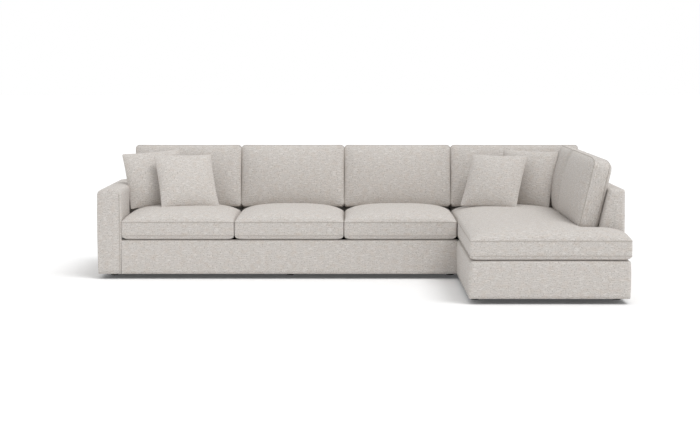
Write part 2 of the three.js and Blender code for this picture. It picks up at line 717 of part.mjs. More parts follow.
// The chaise cushion fills the open end's whole width and then runs on beside the return back.
function addChaiseCushion() {
  const corner = [jointX + cushionGap / 2, chaiseFront - chaiseOverhang];
  const width = rightX + chaiseOverhang - corner[0];
  const length = seatRear - corner[1];
  const notchX = rightX - backThickness(borderTop) - seatTuck - corner[0];
  const notchY = returnFront - notchTuck - corner[1];
  const evenly = (from, to, steps) => spread(from, to, (to - from) / steps);
  const rearCrown = gridLines(2 * crownReach).filter((y) => y <= crownReach).map((y) => length - y).reverse();
  const xs = [...gridLines(notchX), ...evenly(notchX, width, notchSteps).slice(1)];
  const ys = [
    ...evenly(0, notchY - notchReach, openEndSteps),
    ...evenly(notchY - notchReach, notchY, notchSteps).slice(1),
    ...evenly(notchY, length - crownReach, runSteps).slice(1),
    ...rearCrown.slice(1),
  ];
  const heights = (x, y) => {
    const away = Math.hypot(Math.max(notchX - x, 0) / crownReach, Math.max(notchY - y, 0) / notchReach);
    const beside = rise(away, 1, seatFullnessShare);
    const over = crownOver(x, y, width, length, seatFullnessShare, openSideReach);
    return seatHeights(over * beside, seatCrown);
  };
  const place = (x, y, z) => {
    const [px, py] = drawnIn(x, y, width, length);
    return new THREE.Vector3(corner[0] + px, corner[1] + py, z);
  };
  const kept = (x, y) => x < notchX || y < notchY;
  add('chaise_cushion', padSkin(xs, ys, heights, place, kept), cloth);
}

// Back cushions stand on the seat cushions and lean on a back. Their own frame is X along the back,
// Y up the lean and Z out towards the seat. Where "leanEnd" is given, that end leans with its height.
function backCushion(name, width, place, leanEnd) {
  const heights = (x, y) => {
    const up = crownOver(x, y, width, backCushionHeight, crownFullnessShare);
    const rear = backRest - (backRest - fit) * Math.min(1, up / flatBottomShare);
    return [rear, backRest + backBoxing + backCrown * up];
  };
  const put = (x, y, z) => {
    const [px, py] = drawnIn(x, y, width, backCushionHeight);
    const risen = py * Math.cos(backLean) + z * Math.sin(backLean);
    const leaning = leanEnd ? leanEnd(px / width) * risen * Math.tan(backLean) : 0;
    return place(px + leaning, py, z);
  };
  add(name, padSkin(gridLines(width), gridLines(backCushionHeight), heights, put), cloth);
}

const restPlace = (outside) => outside - backThickness(backCushionBottom);

function addBackCushions() {
  const cosine = Math.cos(backLean);
  const sine = Math.sin(backLean);
  const againstRear = (left) => (x, y, z) => new THREE.Vector3(
    left + x,
    restPlace(sofaDepth) + y * sine - z * cosine,
    backCushionBottom + y * cosine + z * sine,
  );
  const cornerWidth = restPlace(rightX) - jointX;
  const widths = [outerSeatWidth, middleSeatWidth, outerSeatWidth, cornerWidth];
  let left = seatLeft;
  widths.forEach((width, i) => {
    const leanEnd = i === widths.length - 1 ? (share) => share : null;
    backCushion(`back_cushion_${i + 1}`, width - cushionGap, againstRear(left + cushionGap / 2), leanEnd);
    left += width;
  });

  // On the return their X runs towards the front.
  const againstReturn = (rear) => (x, y, z) => new THREE.Vector3(
    restPlace(rightX) + y * sine - z * cosine,
    rear - x,
    backCushionBottom + y * cosine + z * sine,
  );
  const rearEnd = restPlace(sofaDepth) - (backRest + backBoxing + cornerPress) / cosine;
  const split = sofaFront + returnSplit;
  const rearPlace = againstReturn(rearEnd);
  backCushion('return_cushion_rear', rearEnd - split - cushionGap, rearPlace, (share) => share - 1);
  const frontPlace = againstReturn(split);
  backCushion('return_cushion_front', split - returnFront - returnSetback, frontPlace, null);
}

// Pillows, thick in the middle and thin at their rims. Each leans back on a back cushion, turned a
// little to face the middle of its seat. The shares are of the room across its seat.
const pillowPlaces = {
  left_pillow_rear: { acrossShare: 0.246, yaw: 16, lean: 27, roll: 6, advance: rearPillowAdvance },
  left_pillow_front: { acrossShare: 0.524, yaw: 22, lean: 29, roll: -1, advance: frontPillowAdvance },
  right_pillow_front: { acrossShare: 0.346, yaw: -26, lean: 31, roll: 0, advance: frontPillowAdvance },
  right_pillow_rear: { acrossShare: 0.62, yaw: -28, lean: 24, roll: -1, advance: rearPillowAdvance },
};

// Lowers a geometry until it all but touches the one below it: halves the room between a height at
// which they are clear of each other and one at which they overlap.
function settle(upper, lower) {
  const [falling, under] = [toSolid(upper), toSolid(lower)];
  let [clear, stuck] = [pillowSide, -pillowSide];
  while (clear - stuck > fit) {
    const middle = (clear + stuck) / 2;
    const overlap = falling.translate([0, 0, middle]).intersect(under);
    if (overlap.isEmpty()) clear = middle;
    else stuck = middle;
  }
  return upper.translate(0, 0, clear);
}

function addPillows() {
  const half = pillowSide / 2;
  const swell = (pillowThickness - pillowRim) / 2;
  for (const [name, { acrossShare, yaw, lean, roll, advance }] of Object.entries(pillowPlaces)) {
    const onLeft = name.startsWith('left');
    const room = onLeft ? outerSeatWidth : restPlace(rightX) - jointX;
    const [turn, tip, swing] = [yaw, lean, roll].map(THREE.MathUtils.degToRad);
    const x = (onLeft ? seatLeft : jointX) + acrossShare * room;
    const z = seatSeamTop + seatCrown + half * Math.cos(tip);
    const stand = (backRest + backBoxing + backCrown) / Math.cos(backLean);
    const cushionFace = sofaDepth - backThickness(z) - stand;
    const y = cushionFace - pillowThickness / 2 / Math.cos(tip - backLean) - pillowRest - advance;
    const heights = (px, py) => {
      const up = crownOver(px, py, pillowSide, pillowSide, pillowFullnessShare);
      return [-pillowRim / 2 - swell * up, pillowRim / 2 + swell * up];
    };
    // Upright and facing front, then rolled, tipped back and turned.
    const turned = new THREE.Matrix4().makeTranslation(x, y, z)
      .multiply(new THREE.Matrix4().makeRotationZ(turn))
      .multiply(new THREE.Matrix4().makeRotationX(Math.PI / 2 - tip))
      .multiply(new THREE.Matrix4().makeRotationZ(swing));
    const place = (px, py, pz) => {
      const [qx, qy] = drawnIn(px, py, pillowSide, pillowSide, pillowDrawInShare, pillowCornerCut);
      return new THREE.Vector3(qx - half, qy - half, pz).applyMatrix4(turned);
    };
    const pillow = padSkin(gridLines(pillowSide), gridLines(pillowSide), heights, place);
    const seat = sofa.getObjectByName(onLeft ? 'seat_cushion_1' : 'chaise_cushion');
    add(name, settle(pillow, seat.geometry), cloth);
  }
}

addSofaUnit();
addChaiseUnit();
addTiePlates();
addSeatCushions();
addChaiseCushion();
addBackCushions();
addPillows();

const middle = new THREE.Box3().setFromObject(sofa).getCenter(new THREE.Vector3());
sofa.position.set(-middle.x, -middle.y, 0);

export default sofa;
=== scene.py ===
"""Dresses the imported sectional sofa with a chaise: cushions, pillows, covers, timber and feet.

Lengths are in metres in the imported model's own frame: X runs to the viewer's right, the seats
face -Y and Z is up. The arm is on the left, the chaise with its return back on the right.
"""
import logging
import math
from dataclasses import dataclass
from enum import Enum
from typing import Callable, Sequence

import bpy
import numpy as np
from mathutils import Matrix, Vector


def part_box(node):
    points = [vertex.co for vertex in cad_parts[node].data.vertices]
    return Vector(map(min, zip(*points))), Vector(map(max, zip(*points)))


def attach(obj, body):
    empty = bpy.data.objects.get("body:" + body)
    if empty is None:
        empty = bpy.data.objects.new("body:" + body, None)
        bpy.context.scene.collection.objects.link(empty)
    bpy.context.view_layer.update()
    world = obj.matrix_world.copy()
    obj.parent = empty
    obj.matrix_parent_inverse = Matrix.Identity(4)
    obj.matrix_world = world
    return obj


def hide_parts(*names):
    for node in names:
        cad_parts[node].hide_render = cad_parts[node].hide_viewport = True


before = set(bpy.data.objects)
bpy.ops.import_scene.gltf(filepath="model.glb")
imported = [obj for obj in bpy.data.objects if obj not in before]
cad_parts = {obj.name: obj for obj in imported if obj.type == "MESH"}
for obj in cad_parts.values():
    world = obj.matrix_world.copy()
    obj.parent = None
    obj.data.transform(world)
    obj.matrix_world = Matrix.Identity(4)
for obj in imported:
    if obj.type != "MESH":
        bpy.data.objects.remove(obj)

Array = np.ndarray
Colour = tuple[float, float, float, float]
Finish = bpy.types.Material
Node = bpy.types.Node
Outline = list[tuple[float, float]]
Piece = bpy.types.Object
Place = Callable[[Array], Array]
Socket = bpy.types.NodeSocket
Tree = bpy.types.NodeTree
log = logging.getLogger("sofa")

MILLIMETRE = 0.001
TINY = 1e-6
METRE_WAVE = 0.314  # scale at which a Wave Texture's bands stand a metre apart
BODY = "sofa"

# The outside of the arm and the front of the seats place everything else.
_arm_low, _arm_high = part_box("arm_cover")
_return_low, _return_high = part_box("return_back_cover")
_band_low, _band_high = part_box("chaise_front_border")
LEFT, RIGHT = _arm_low[0], _return_high[0]
SEAT_FRONT, REAR = _arm_low[1], _arm_high[1]
UNDERSIDE, ARM_TOP = _arm_low[2], _arm_high[2]
ARM_INSIDE = _arm_high[0]
JOINT, CHAISE_FRONT = _band_low[0], _band_low[1]
RETURN_FRONT, BACK_TOP = _return_low[1], _return_high[2]
BORDER_TOP = _band_high[2]

BACK_TOP_THICKNESS = 0.095
BACK_LEAN = math.radians(12.5)
SEAT_SEAM_BOTTOM, SEAT_SEAM_TOP = 0.300, 0.392
OUTER_SEAT, MIDDLE_SEAT = 0.774, 0.750

PADDING_WALL, PADDING_FILL = 0.010, 0.95

# Air left beside a piece, below a soft one and next to the joint of the two units.
SIDE_GAP = 0.3 * MILLIMETRE
REST_GAP = 0.4 * MILLIMETRE
JOINT_GAP = 0.6 * MILLIMETRE


def back_thickness(height: Array | float) -> Array | float:
    """Depth of a back at a height: its top thickness plus what its lean adds below the top."""
    return BACK_TOP_THICKNESS + (BACK_TOP - height) * math.tan(BACK_LEAN)


class Slot(Enum):
    """Names of material slots for the pieces' finishes; no piece here takes its finish from them."""

    UPHOLSTERY = "upholstery_cloth"
    CUSHION = "cushion_cloth"
    PILLOW = "pillow_cloth"
    DECK = "deck_cloth"
    DUST = "dust_cloth"
    FOOT = "foot_wood"


class Run(Enum):
    """The way along which a section is carried."""

    ALONG_X = 0
    ALONG_Y = 1


# Surfaces


@dataclass
class Surface:
    """A surface of four-cornered faces, with the place of each face's corners on the flat cloth."""

    points: Array
    faces: Array
    cloth: Array

    @staticmethod
    def lattice(points: Array, cloth: Array, flip: bool = False) -> "Surface":
        """Faces between neighbours on a grid of points.

        Args:
            points: Grid of places, rows by columns by 3.
            cloth: Grid of flat cloth places, rows by columns by 2.
            flip: Turns the faces to the other side.

        Returns:
            The grid's surface.
        """
        rows, columns = points.shape[:2]
        index = np.arange(rows * columns).reshape(rows, columns)
        corners = [index[:-1, :-1], index[1:, :-1], index[1:, 1:], index[:-1, 1:]]
        if flip:
            corners.reverse()
        faces = np.stack([corner.ravel() for corner in corners], axis=1)
        flat = cloth.reshape(-1, 2)
        return Surface(points.reshape(-1, 3), faces, flat[faces])

    def joined(self, *others: "Surface") -> "Surface":
        """This surface and others as one, with points at the same place made one point.

        Args:
            *others: The other surfaces.

        Returns:
            The one surface, without the faces that have fewer than three corners left.
        """
        decimals = 6
        every = [self, *others]
        starts = np.cumsum([0] + [len(each.points) for each in every[:-1]])
        points = np.concatenate([each.points for each in every])
        faces = np.concatenate([each.faces + start for each, start in zip(every, starts)])
        cloth = np.concatenate([each.cloth for each in every])
        places = np.round(points, decimals)
        _, first, same = np.unique(places, axis=0, return_index=True, return_inverse=True)
        faces = same.reshape(-1)[faces]
        whole = (faces != np.roll(faces, 1, axis=1)).sum(axis=1) >= 3
        return Surface(points[first], faces[whole], cloth[whole])

    def piece(self, name: str, finish: Finish) -> Piece:
        """Makes the Blender object, smooth shaded, with the cloth's places as its UV map.

        Args:
            name: The piece's name.
            finish: Its material.

        Returns:
            The object, linked to the scene at the origin.
        """
        kept = self.faces != np.roll(self.faces, 1, axis=1)
        rows = zip(self.faces.tolist(), kept.tolist())
        polygons = [[corner for corner, keep in zip(*row) if keep] for row in rows]
        mesh = bpy.data.meshes.new(name)
        mesh.from_pydata(self.points.tolist(), [], polygons)
        layer = mesh.uv_layers.new(name="cloth")
        layer.data.foreach_set("uv", self.cloth[kept].astype(np.float32).ravel())
        mesh.polygons.foreach_set("use_smooth", np.ones(len(mesh.polygons), dtype=bool))
        mesh.materials.append(finish)
        mesh.update()
        return linked(name, mesh)


def linked(name: str, data: bpy.types.ID) -> Piece:
    """Makes an object for a mesh, a lamp or a camera.

    Args:
        name: The object's name.
        data: What it shows.

    Returns:
        The object, linked to the scene.
    """
    made = bpy.data.objects.new(name, data)
    bpy.context.scene.collection.objects.link(made)
    return made


def grid(*parts: Array | float) -> Array:
    """Coordinates spread over each other's rows and columns and set side by side as places."""
    return np.stack(np.broadcast_arrays(*parts), axis=-1)


def rounded_path(corners: Sequence[tuple[float, float, float]], spacing: float, bulge: float) -> Array:
    """An open path through corners, each (across, up, radius), with arcs at the corners.

    Each straight run is pushed out to its left by bulge times a half wave along it, so a
    padded face swells in its middle and keeps its edges.

    Args:
        corners: The path's corners; the first and last have no arc.
        spacing: Widest space between points on a straight run.
        bulge: Height of the swell.

    Returns:
        Points of the path, n by 2.
    """
    arc_points = 7
    flat = np.array([corner[:2] for corner in corners])
    radii = [corner[2] for corner in corners]
    runs: list[Array] = []
    start = flat[0]
    for i in range(1, len(flat)):
        here = flat[i]
        before = (here - flat[i - 1]) / np.linalg.norm(here - flat[i - 1])
        last = i == len(flat) - 1
        after = before if last else (flat[i + 1] - here) / np.linalg.norm(flat[i + 1] - here)
        turn = math.acos(float(np.clip(before @ after, -1, 1)))
        reach = 0 if last else radii[i] * math.tan(turn / 2)
        end = here - before * reach
        count = max(2, math.ceil(np.linalg.norm(end - start) / spacing))
        t = np.linspace(0, 1, count + 1)[:, None]
        outward = np.array([-before[1], before[0]])
        runs.append(start + (end - start) * t + outward * bulge * np.sin(np.pi * t))
        if reach > 0:
            side = math.copysign(1, before[0] * after[1] - before[1] * after[0])
            inward = side * np.array([-before[1], before[0]])
            angle = np.linspace(0, turn, arc_points)[1:-1, None]
            runs.append(end + radii[i] * (inward * (1 - np.cos(angle)) + before * np.sin(angle)))
        start = here + after * reach
    return np.concatenate(runs)


def distances(points: Array) -> Array:
    """Length along a path from its first point to each of its points."""
    steps = np.linalg.norm(np.diff(points, axis=0), axis=1)
    return np.concatenate([[0.0], np.cumsum(steps)])


def tube(path: Array, radius: float, sides: int = 6, closed: bool = True) -> Surface:
    """A round tube along a path: each point's ring stands square to the path there.

    Args:
        path: Points of the centre line, n by 3.
        radius: The tube's radius.
        sides: Corners of a ring.
        closed: Whether the last point joins the first.

    Returns:
        The tube's surface, its ends drawn to a point where it is open.
    """
    steep = 0.8
    before = np.roll(path, 1, axis=0)
    after = np.roll(path, -1, axis=0)
    if not closed:
        before[0], after[-1] = path[0], path[-1]
    along = after - before
    along /= np.linalg.norm(along, axis=1, keepdims=True)
    steady = np.where(np.abs(along[:, 2:]) > steep, [[0.0, 1.0, 0.0]], [[0.0, 0.0, 1.0]])
    across = np.cross(along, steady)
    across /= np.linalg.norm(across, axis=1, keepdims=True)
    up = np.cross(across, along)
    turn = np.linspace(0, 2 * np.pi, sides + 1)
    reach = np.full((len(path), 1, 1), radius)
    if not closed:
        reach[[0, -1]] = 0
    ring = across[:, None] * np.cos(turn)[None, :, None] + up[:, None] * np.sin(turn)[None, :, None]
    points = path[:, None] + reach * ring
    length = distances(np.concatenate([path, path[:1]]) if closed else path)
    if closed:
        points = np.concatenate([points, points[:1]])
    return Surface.lattice(points, grid(length[:, None], turn[None] * radius)).joined()


# Materials


def linear(hex_colour: str) -> Colour:
    """Turns an sRGB colour into linear light.

    Args:
        hex_colour: A colour such as "#CBC7C1".

    Returns:
        Its linear red, green and blue, and an alpha of 1.
    """
    parts = np.array([int(hex_colour[i:i + 2], 16) / 255 for i in (1, 3, 5)])
    bright = np.where(parts <= 0.04045, parts / 12.92, ((parts + 0.055) / 1.055) ** 2.4)
    return (*bright.tolist(), 1.0)


def add_node(
    tree: Tree, kind: str, links: dict | None = None, inputs: dict | None = None, **settings: str,
) -> Node:
    """Adds one node.

    Args:
        tree: The node tree.
        kind: The node's type name.
        links: Output sockets by the name or number of the input that each feeds.
        inputs: Values by the name or number of their input.
        **settings: The node's own settings.

    Returns:
        The node.
    """
    node = tree.nodes.new(kind)
    for name, value in settings.items():
        setattr(node, name, value)
    set_inputs(node, inputs or {})
    for name, socket in (links or {}).items():
        tree.links.new(socket, node.inputs[name])
    return node


def set_inputs(node: Node, inputs: dict) -> None:
    """Sets values by the name or number of their input."""
    for name, value in inputs.items():
        node.inputs[name].default_value = value


def noise(tree: Tree, place: Socket, scale: float, detail: float, distortion: float = 0.0) -> Socket:
    """Uneven spots, as many to the metre as their scale says."""
    inputs = {"Scale": scale, "Detail": detail, "Distortion": distortion}
    return add_node(tree, "ShaderNodeTexNoise", {"Vector": place}, inputs).outputs[0]


def drawn_out(tree: Tree, place: Socket, scale: tuple[float, float, float]) -> Socket:
    """Places scaled each way by itself."""
    return add_node(tree, "ShaderNodeMapping", {"Vector": place}, {"Scale": scale}).outputs[0]


def carried(tree: Tree, value: Socket, limits: dict[str, float]) -> Socket:
    """A value carried over from one range to another; a range that isn't named is 0 to 1."""
    return add_node(tree, "ShaderNodeMapRange", {"Value": value}, limits).outputs[0]


def worked_out(tree: Tree, operation: str, *terms: Socket | float) -> Socket:
    """One sum on values and plain numbers.

    Args:
        tree: The node tree.
        operation: The sum, by the Math node's name for it.
        *terms: Output sockets and numbers, in the node's order.

    Returns:
        The output that holds the result.
    """
    links = {i: term for i, term in enumerate(terms) if not isinstance(term, float)}
    inputs = {i: term for i, term in enumerate(terms) if isinstance(term, float)}
    return add_node(tree, "ShaderNodeMath", links, inputs, operation=operation).outputs[0]


def mixed(tree: Tree, share: Socket, below: Socket | Colour, above: Colour) -> Socket:
    """Lays a colour over another.

    Args:
        tree: The node tree.
        share: How much of the upper colour shows.
        below: The lower colour.
        above: The upper colour.

    Returns:
        The mixed colour's output.
    """
    below_input, above_input, colour_output = 6, 7, 2
    mix = add_node(tree, "ShaderNodeMix", {0: share}, {above_input: above}, data_type="RGBA")
    if isinstance(below, tuple):
        mix.inputs[below_input].default_value = below
    else:
        tree.links.new(below, mix.inputs[below_input])
    return mix.outputs[colour_output]


@dataclass
class Shading:
    """A new material with its node tree and its Principled shader."""

    name: str

    def __post_init__(self) -> None:
        """Makes the material."""
        self.material = bpy.data.materials.new(self.name)
        self.material.use_nodes = True
        self.tree = self.material.node_tree
        self.shader = self.tree.nodes["Principled BSDF"]

    def object_place(self) -> Socket:
        """Object coordinates, which are places in the room: every object sits at the origin."""
        return add_node(self.tree, "ShaderNodeTexCoord").outputs["Object"]

    def raised(self, height: Socket, strength: float, distance: float) -> None:
        """Raises the surface.

        Args:
            height: How high it stands, as a share of the distance.
            strength: How much of the relief shows.
            distance: What a height of 1 stands for.
        """
        inputs = {"Strength": strength, "Distance": distance}
        bump = add_node(self.tree, "ShaderNodeBump", {"Height": height}, inputs)
        self.tree.links.new(bump.outputs[0], self.shader.inputs["Normal"])

    def feed(self, outputs: dict[str, Socket]) -> None:
        """Feeds the shader's inputs, each by its name."""
        for name, output in outputs.items():
            self.tree.links.new(output, self.shader.inputs[name])


@dataclass(frozen=True)
class SlubCloth:
    """Slub-woven upholstery cloth: uneven heathered yarns, so the surface shows short level
    streaks, pale and dark flecks and a dry, slightly fuzzy look with no shine."""

    name: str
    base: str = "#D0CBC6"
    pale: str = "#EEEAE6"
    dark: str = "#9A928A"
    warm: str = "#CCBDAF"
    pale_most: float = 0.62
    dark_most: float = 0.85
    warm_most: float = 0.35
    thread: float = 2.6 * MILLIMETRE  # drawn coarser than the real 1.3 mm, which is too fine to show
    slub_length: float = 36 * MILLIMETRE
    slub_height: float = 6.5 * MILLIMETRE
    fleck: float = 9 * MILLIMETRE
    fleck_flatness: float = 1.6
    mottle: tuple[float, float] = (22.0, 30.0)  # spots to the metre each way
    slub_share: float = 0.8  # how high a slub stands beside a thread
    relief: float = 0.7 * MILLIMETRE

    def build(self) -> Finish:
        """Builds the cloth on the piece's own UV map, which is in metres.

        Returns:
            The material.
        """
        cloth = Shading(self.name)
        tree = cloth.tree
        flat = add_node(tree, "ShaderNodeUVMap", uv_map="cloth").outputs[0]
        slub = self._streaks(tree, flat, 1 / self.slub_length, 1 / self.slub_height, detail=2.0)
        fleck = self._streaks(tree, flat, 1 / self.fleck, self.fleck_flatness / self.fleck, detail=3.0)
        mottle = self._streaks(tree, flat, *self.mottle, detail=2.0)
        pale = carried(tree, slub, {"From Min": 0.50, "From Max": 0.70})
        dark = carried(tree, fleck, {"From Min": 0.54, "From Max": 0.70})
        warm = carried(tree, mottle, {"From Min": 0.45, "From Max": 0.75})
        colour = self._laid_over(tree, warm, self.warm_most, linear(self.base), self.warm)
        colour = self._laid_over(tree, pale, self.pale_most, colour, self.pale)
        colour = self._laid_over(tree, dark, self.dark_most, colour, self.dark)
        height = worked_out(tree, "MULTIPLY_ADD", slub, self.slub_share, self._weave(tree, flat))
        cloth.raised(height, 0.6, self.relief)
        cloth.feed({"Base Color": colour})
        set_inputs(cloth.shader, {
            "Roughness": 0.92, "Specular IOR Level": 0.2, "Sheen Weight": 0.12, "Sheen Roughness": 0.6,
        })
        return cloth.material

    @staticmethod
    def _streaks(tree: Tree, flat: Socket, along: float, across: float, detail: float) -> Socket:
        """Noise drawn out to the given number of spots per metre each way."""
        return noise(tree, drawn_out(tree, flat, (along, across, 1)), 1.0, detail)

    @staticmethod
    def _laid_over(tree: Tree, share: Socket, most: float, below: Socket | Colour, above: str) -> Socket:
        """Lays a colour over another where the share is high, up to the given most."""
        return mixed(tree, worked_out(tree, "MULTIPLY", share, most), below, linear(above))

    def _weave(self, tree: Tree, flat: Socket) -> Socket:
        """Over-and-under relief: the product of one wave each way, a thread wide.

        Args:
            tree: The node tree.
            flat: Places on the cloth.

        Returns:
            The output that holds the height, from -1 to 1.
        """
        turns = add_node(
            tree, "ShaderNodeVectorMath", {0: flat}, {1: (math.pi / self.thread,) * 3}, operation="MULTIPLY",
        )
        parts = add_node(tree, "ShaderNodeSeparateXYZ", {0: turns.outputs[0]})
        waves = [worked_out(tree, "SINE", parts.outputs[i]) for i in (0, 1)]
        return worked_out(tree, "MULTIPLY", *waves)


@dataclass(frozen=True)
class PlainCloth:
    """Plain thin cloth, woven or bonded: one colour with a fine uneven grain."""

    name: str
    base: str
    dark: str
    grain: float = 1.5 * MILLIMETRE
    relief: float = 0.3 * MILLIMETRE

    def build(self) -> Finish:
        """Builds the cloth on Object coordinates.

        Returns:
            The material.
        """
        cloth = Shading(self.name)
        place = cloth.object_place()
        grain = noise(cloth.tree, place, scale=1 / self.grain, detail=2.0)
        broad = noise(cloth.tree, place, scale=9.0, detail=2.0)
        share = worked_out(cloth.tree, "MULTIPLY", grain, broad)
        cloth.raised(grain, 0.4, self.relief)
        cloth.feed({"Base Color": mixed(cloth.tree, share, linear(self.base), linear(self.dark))})
        set_inputs(cloth.shader, {"Roughness": 0.95, "Specular IOR Level": 0.2})
        return cloth.material


@dataclass(frozen=True)
class SawnTimber:
    """Sawn, kiln-dried hardwood: pale brown boards with streaks along the grain and fine saw marks."""

    name: str
    along: Run
    pale: str = "#C9A678"
    dark: str = "#96703F"
    ring: float = 14 * MILLIMETRE
    relief: float = 0.3 * MILLIMETRE

    def build(self) -> Finish:
        """Builds the timber on Object coordinates, drawn out along its grain.

        Returns:
            The material.
        """
        timber = Shading(self.name)
        slow, fast = 1.2, 1 / self.ring
        scale = (slow, fast, fast) if self.along is Run.ALONG_X else (fast, slow, fast)
        drawn = drawn_out(timber.tree, timber.object_place(), scale)
        rings = noise(timber.tree, drawn, scale=1.0, detail=4.0, distortion=0.6)
        pores = noise(timber.tree, drawn, scale=9.0, detail=2.0)
        share = carried(timber.tree, rings, {"From Min": 0.35, "From Max": 0.65})
        timber.raised(pores, 0.5, self.relief)
        timber.feed({
            "Base Color": mixed(timber.tree, share, linear(self.pale), linear(self.dark)),
            "Roughness": carried(timber.tree, pores, {"To Min": 0.62, "To Max": 0.82}),
        })
        return timber.material


@dataclass(frozen=True)
class PaintedFoot:
    """Turned wood in black satin paint: nearly black, a soft shine, and faint turning lines."""

    name: str = "turned wood, black satin paint"
    base: str = "#1D1A18"
    line: float = 1.2 * MILLIMETRE
    relief: float = 0.1 * MILLIMETRE

    def build(self) -> Finish:
        """Builds the paint on Object coordinates.

        Returns:
            The material.
        """
        paint = Shading(self.name)
        place = paint.object_place()
        inputs = {"Scale": METRE_WAVE / self.line, "Distortion": 0.4}
        wave = add_node(paint.tree, "ShaderNodeTexWave", {"Vector": place}, inputs, bands_direction="Z")
        wear = noise(paint.tree, place, scale=60.0, detail=3.0)
        paint.raised(wave.outputs["Fac"], 0.25, self.relief)
        paint.feed({"Roughness": carried(paint.tree, wear, {"To Min": 0.32, "To Max": 0.5})})
        set_inputs(paint.shader, {"Base Color": linear(self.base)})
        return paint.material


@dataclass(frozen=True)
class Steel:
    """Steel as it comes from the mill: drawn dark spring wire or bright zinc-plated sheet."""

    name: str
    base: str
    roughness: float
    grain: float = 2 * MILLIMETRE
    relief: float = 0.05 * MILLIMETRE

    def build(self) -> Finish:
        """Builds the metal on Object coordinates.

        Returns:
            The material.
        """
        steel = Shading(self.name)
        grain = noise(steel.tree, steel.object_place(), scale=1 / self.grain, detail=3.0)
        limits = {"To Min": self.roughness - 0.08, "To Max": self.roughness + 0.12}
        steel.raised(grain, 0.2, self.relief)
        steel.feed({"Roughness": carried(steel.tree, grain, limits)})
        set_inputs(steel.shader, {"Base Color": linear(self.base), "Metallic": 1.0})
        return steel.material


# Cushions


def rise(distance: Array, reach: float, fullness: float) -> Array:
    """How far cloth has risen at a distance from a seam: a quarter of an ellipse, then level."""
    left = 1 - np.clip(distance / reach, 0, 1)
    return (1 - left * left) ** fullness


def box_outline(width: float, length: float) -> Outline:
    """The outline of a pad with four corners."""
    return [(0.0, 0.0), (width, 0.0), (width, length), (0.0, length)]


def notched_outline(width: float, length: float, notch_x: float, notch_y: float) -> Outline:
    """The outline of a pad that is whole in front and ends at notch_x behind notch_y."""
    return [(0.0, 0.0), (width, 0.0), (width, notch_y), (notch_x, notch_y), (notch_x, length), (0.0, length)]


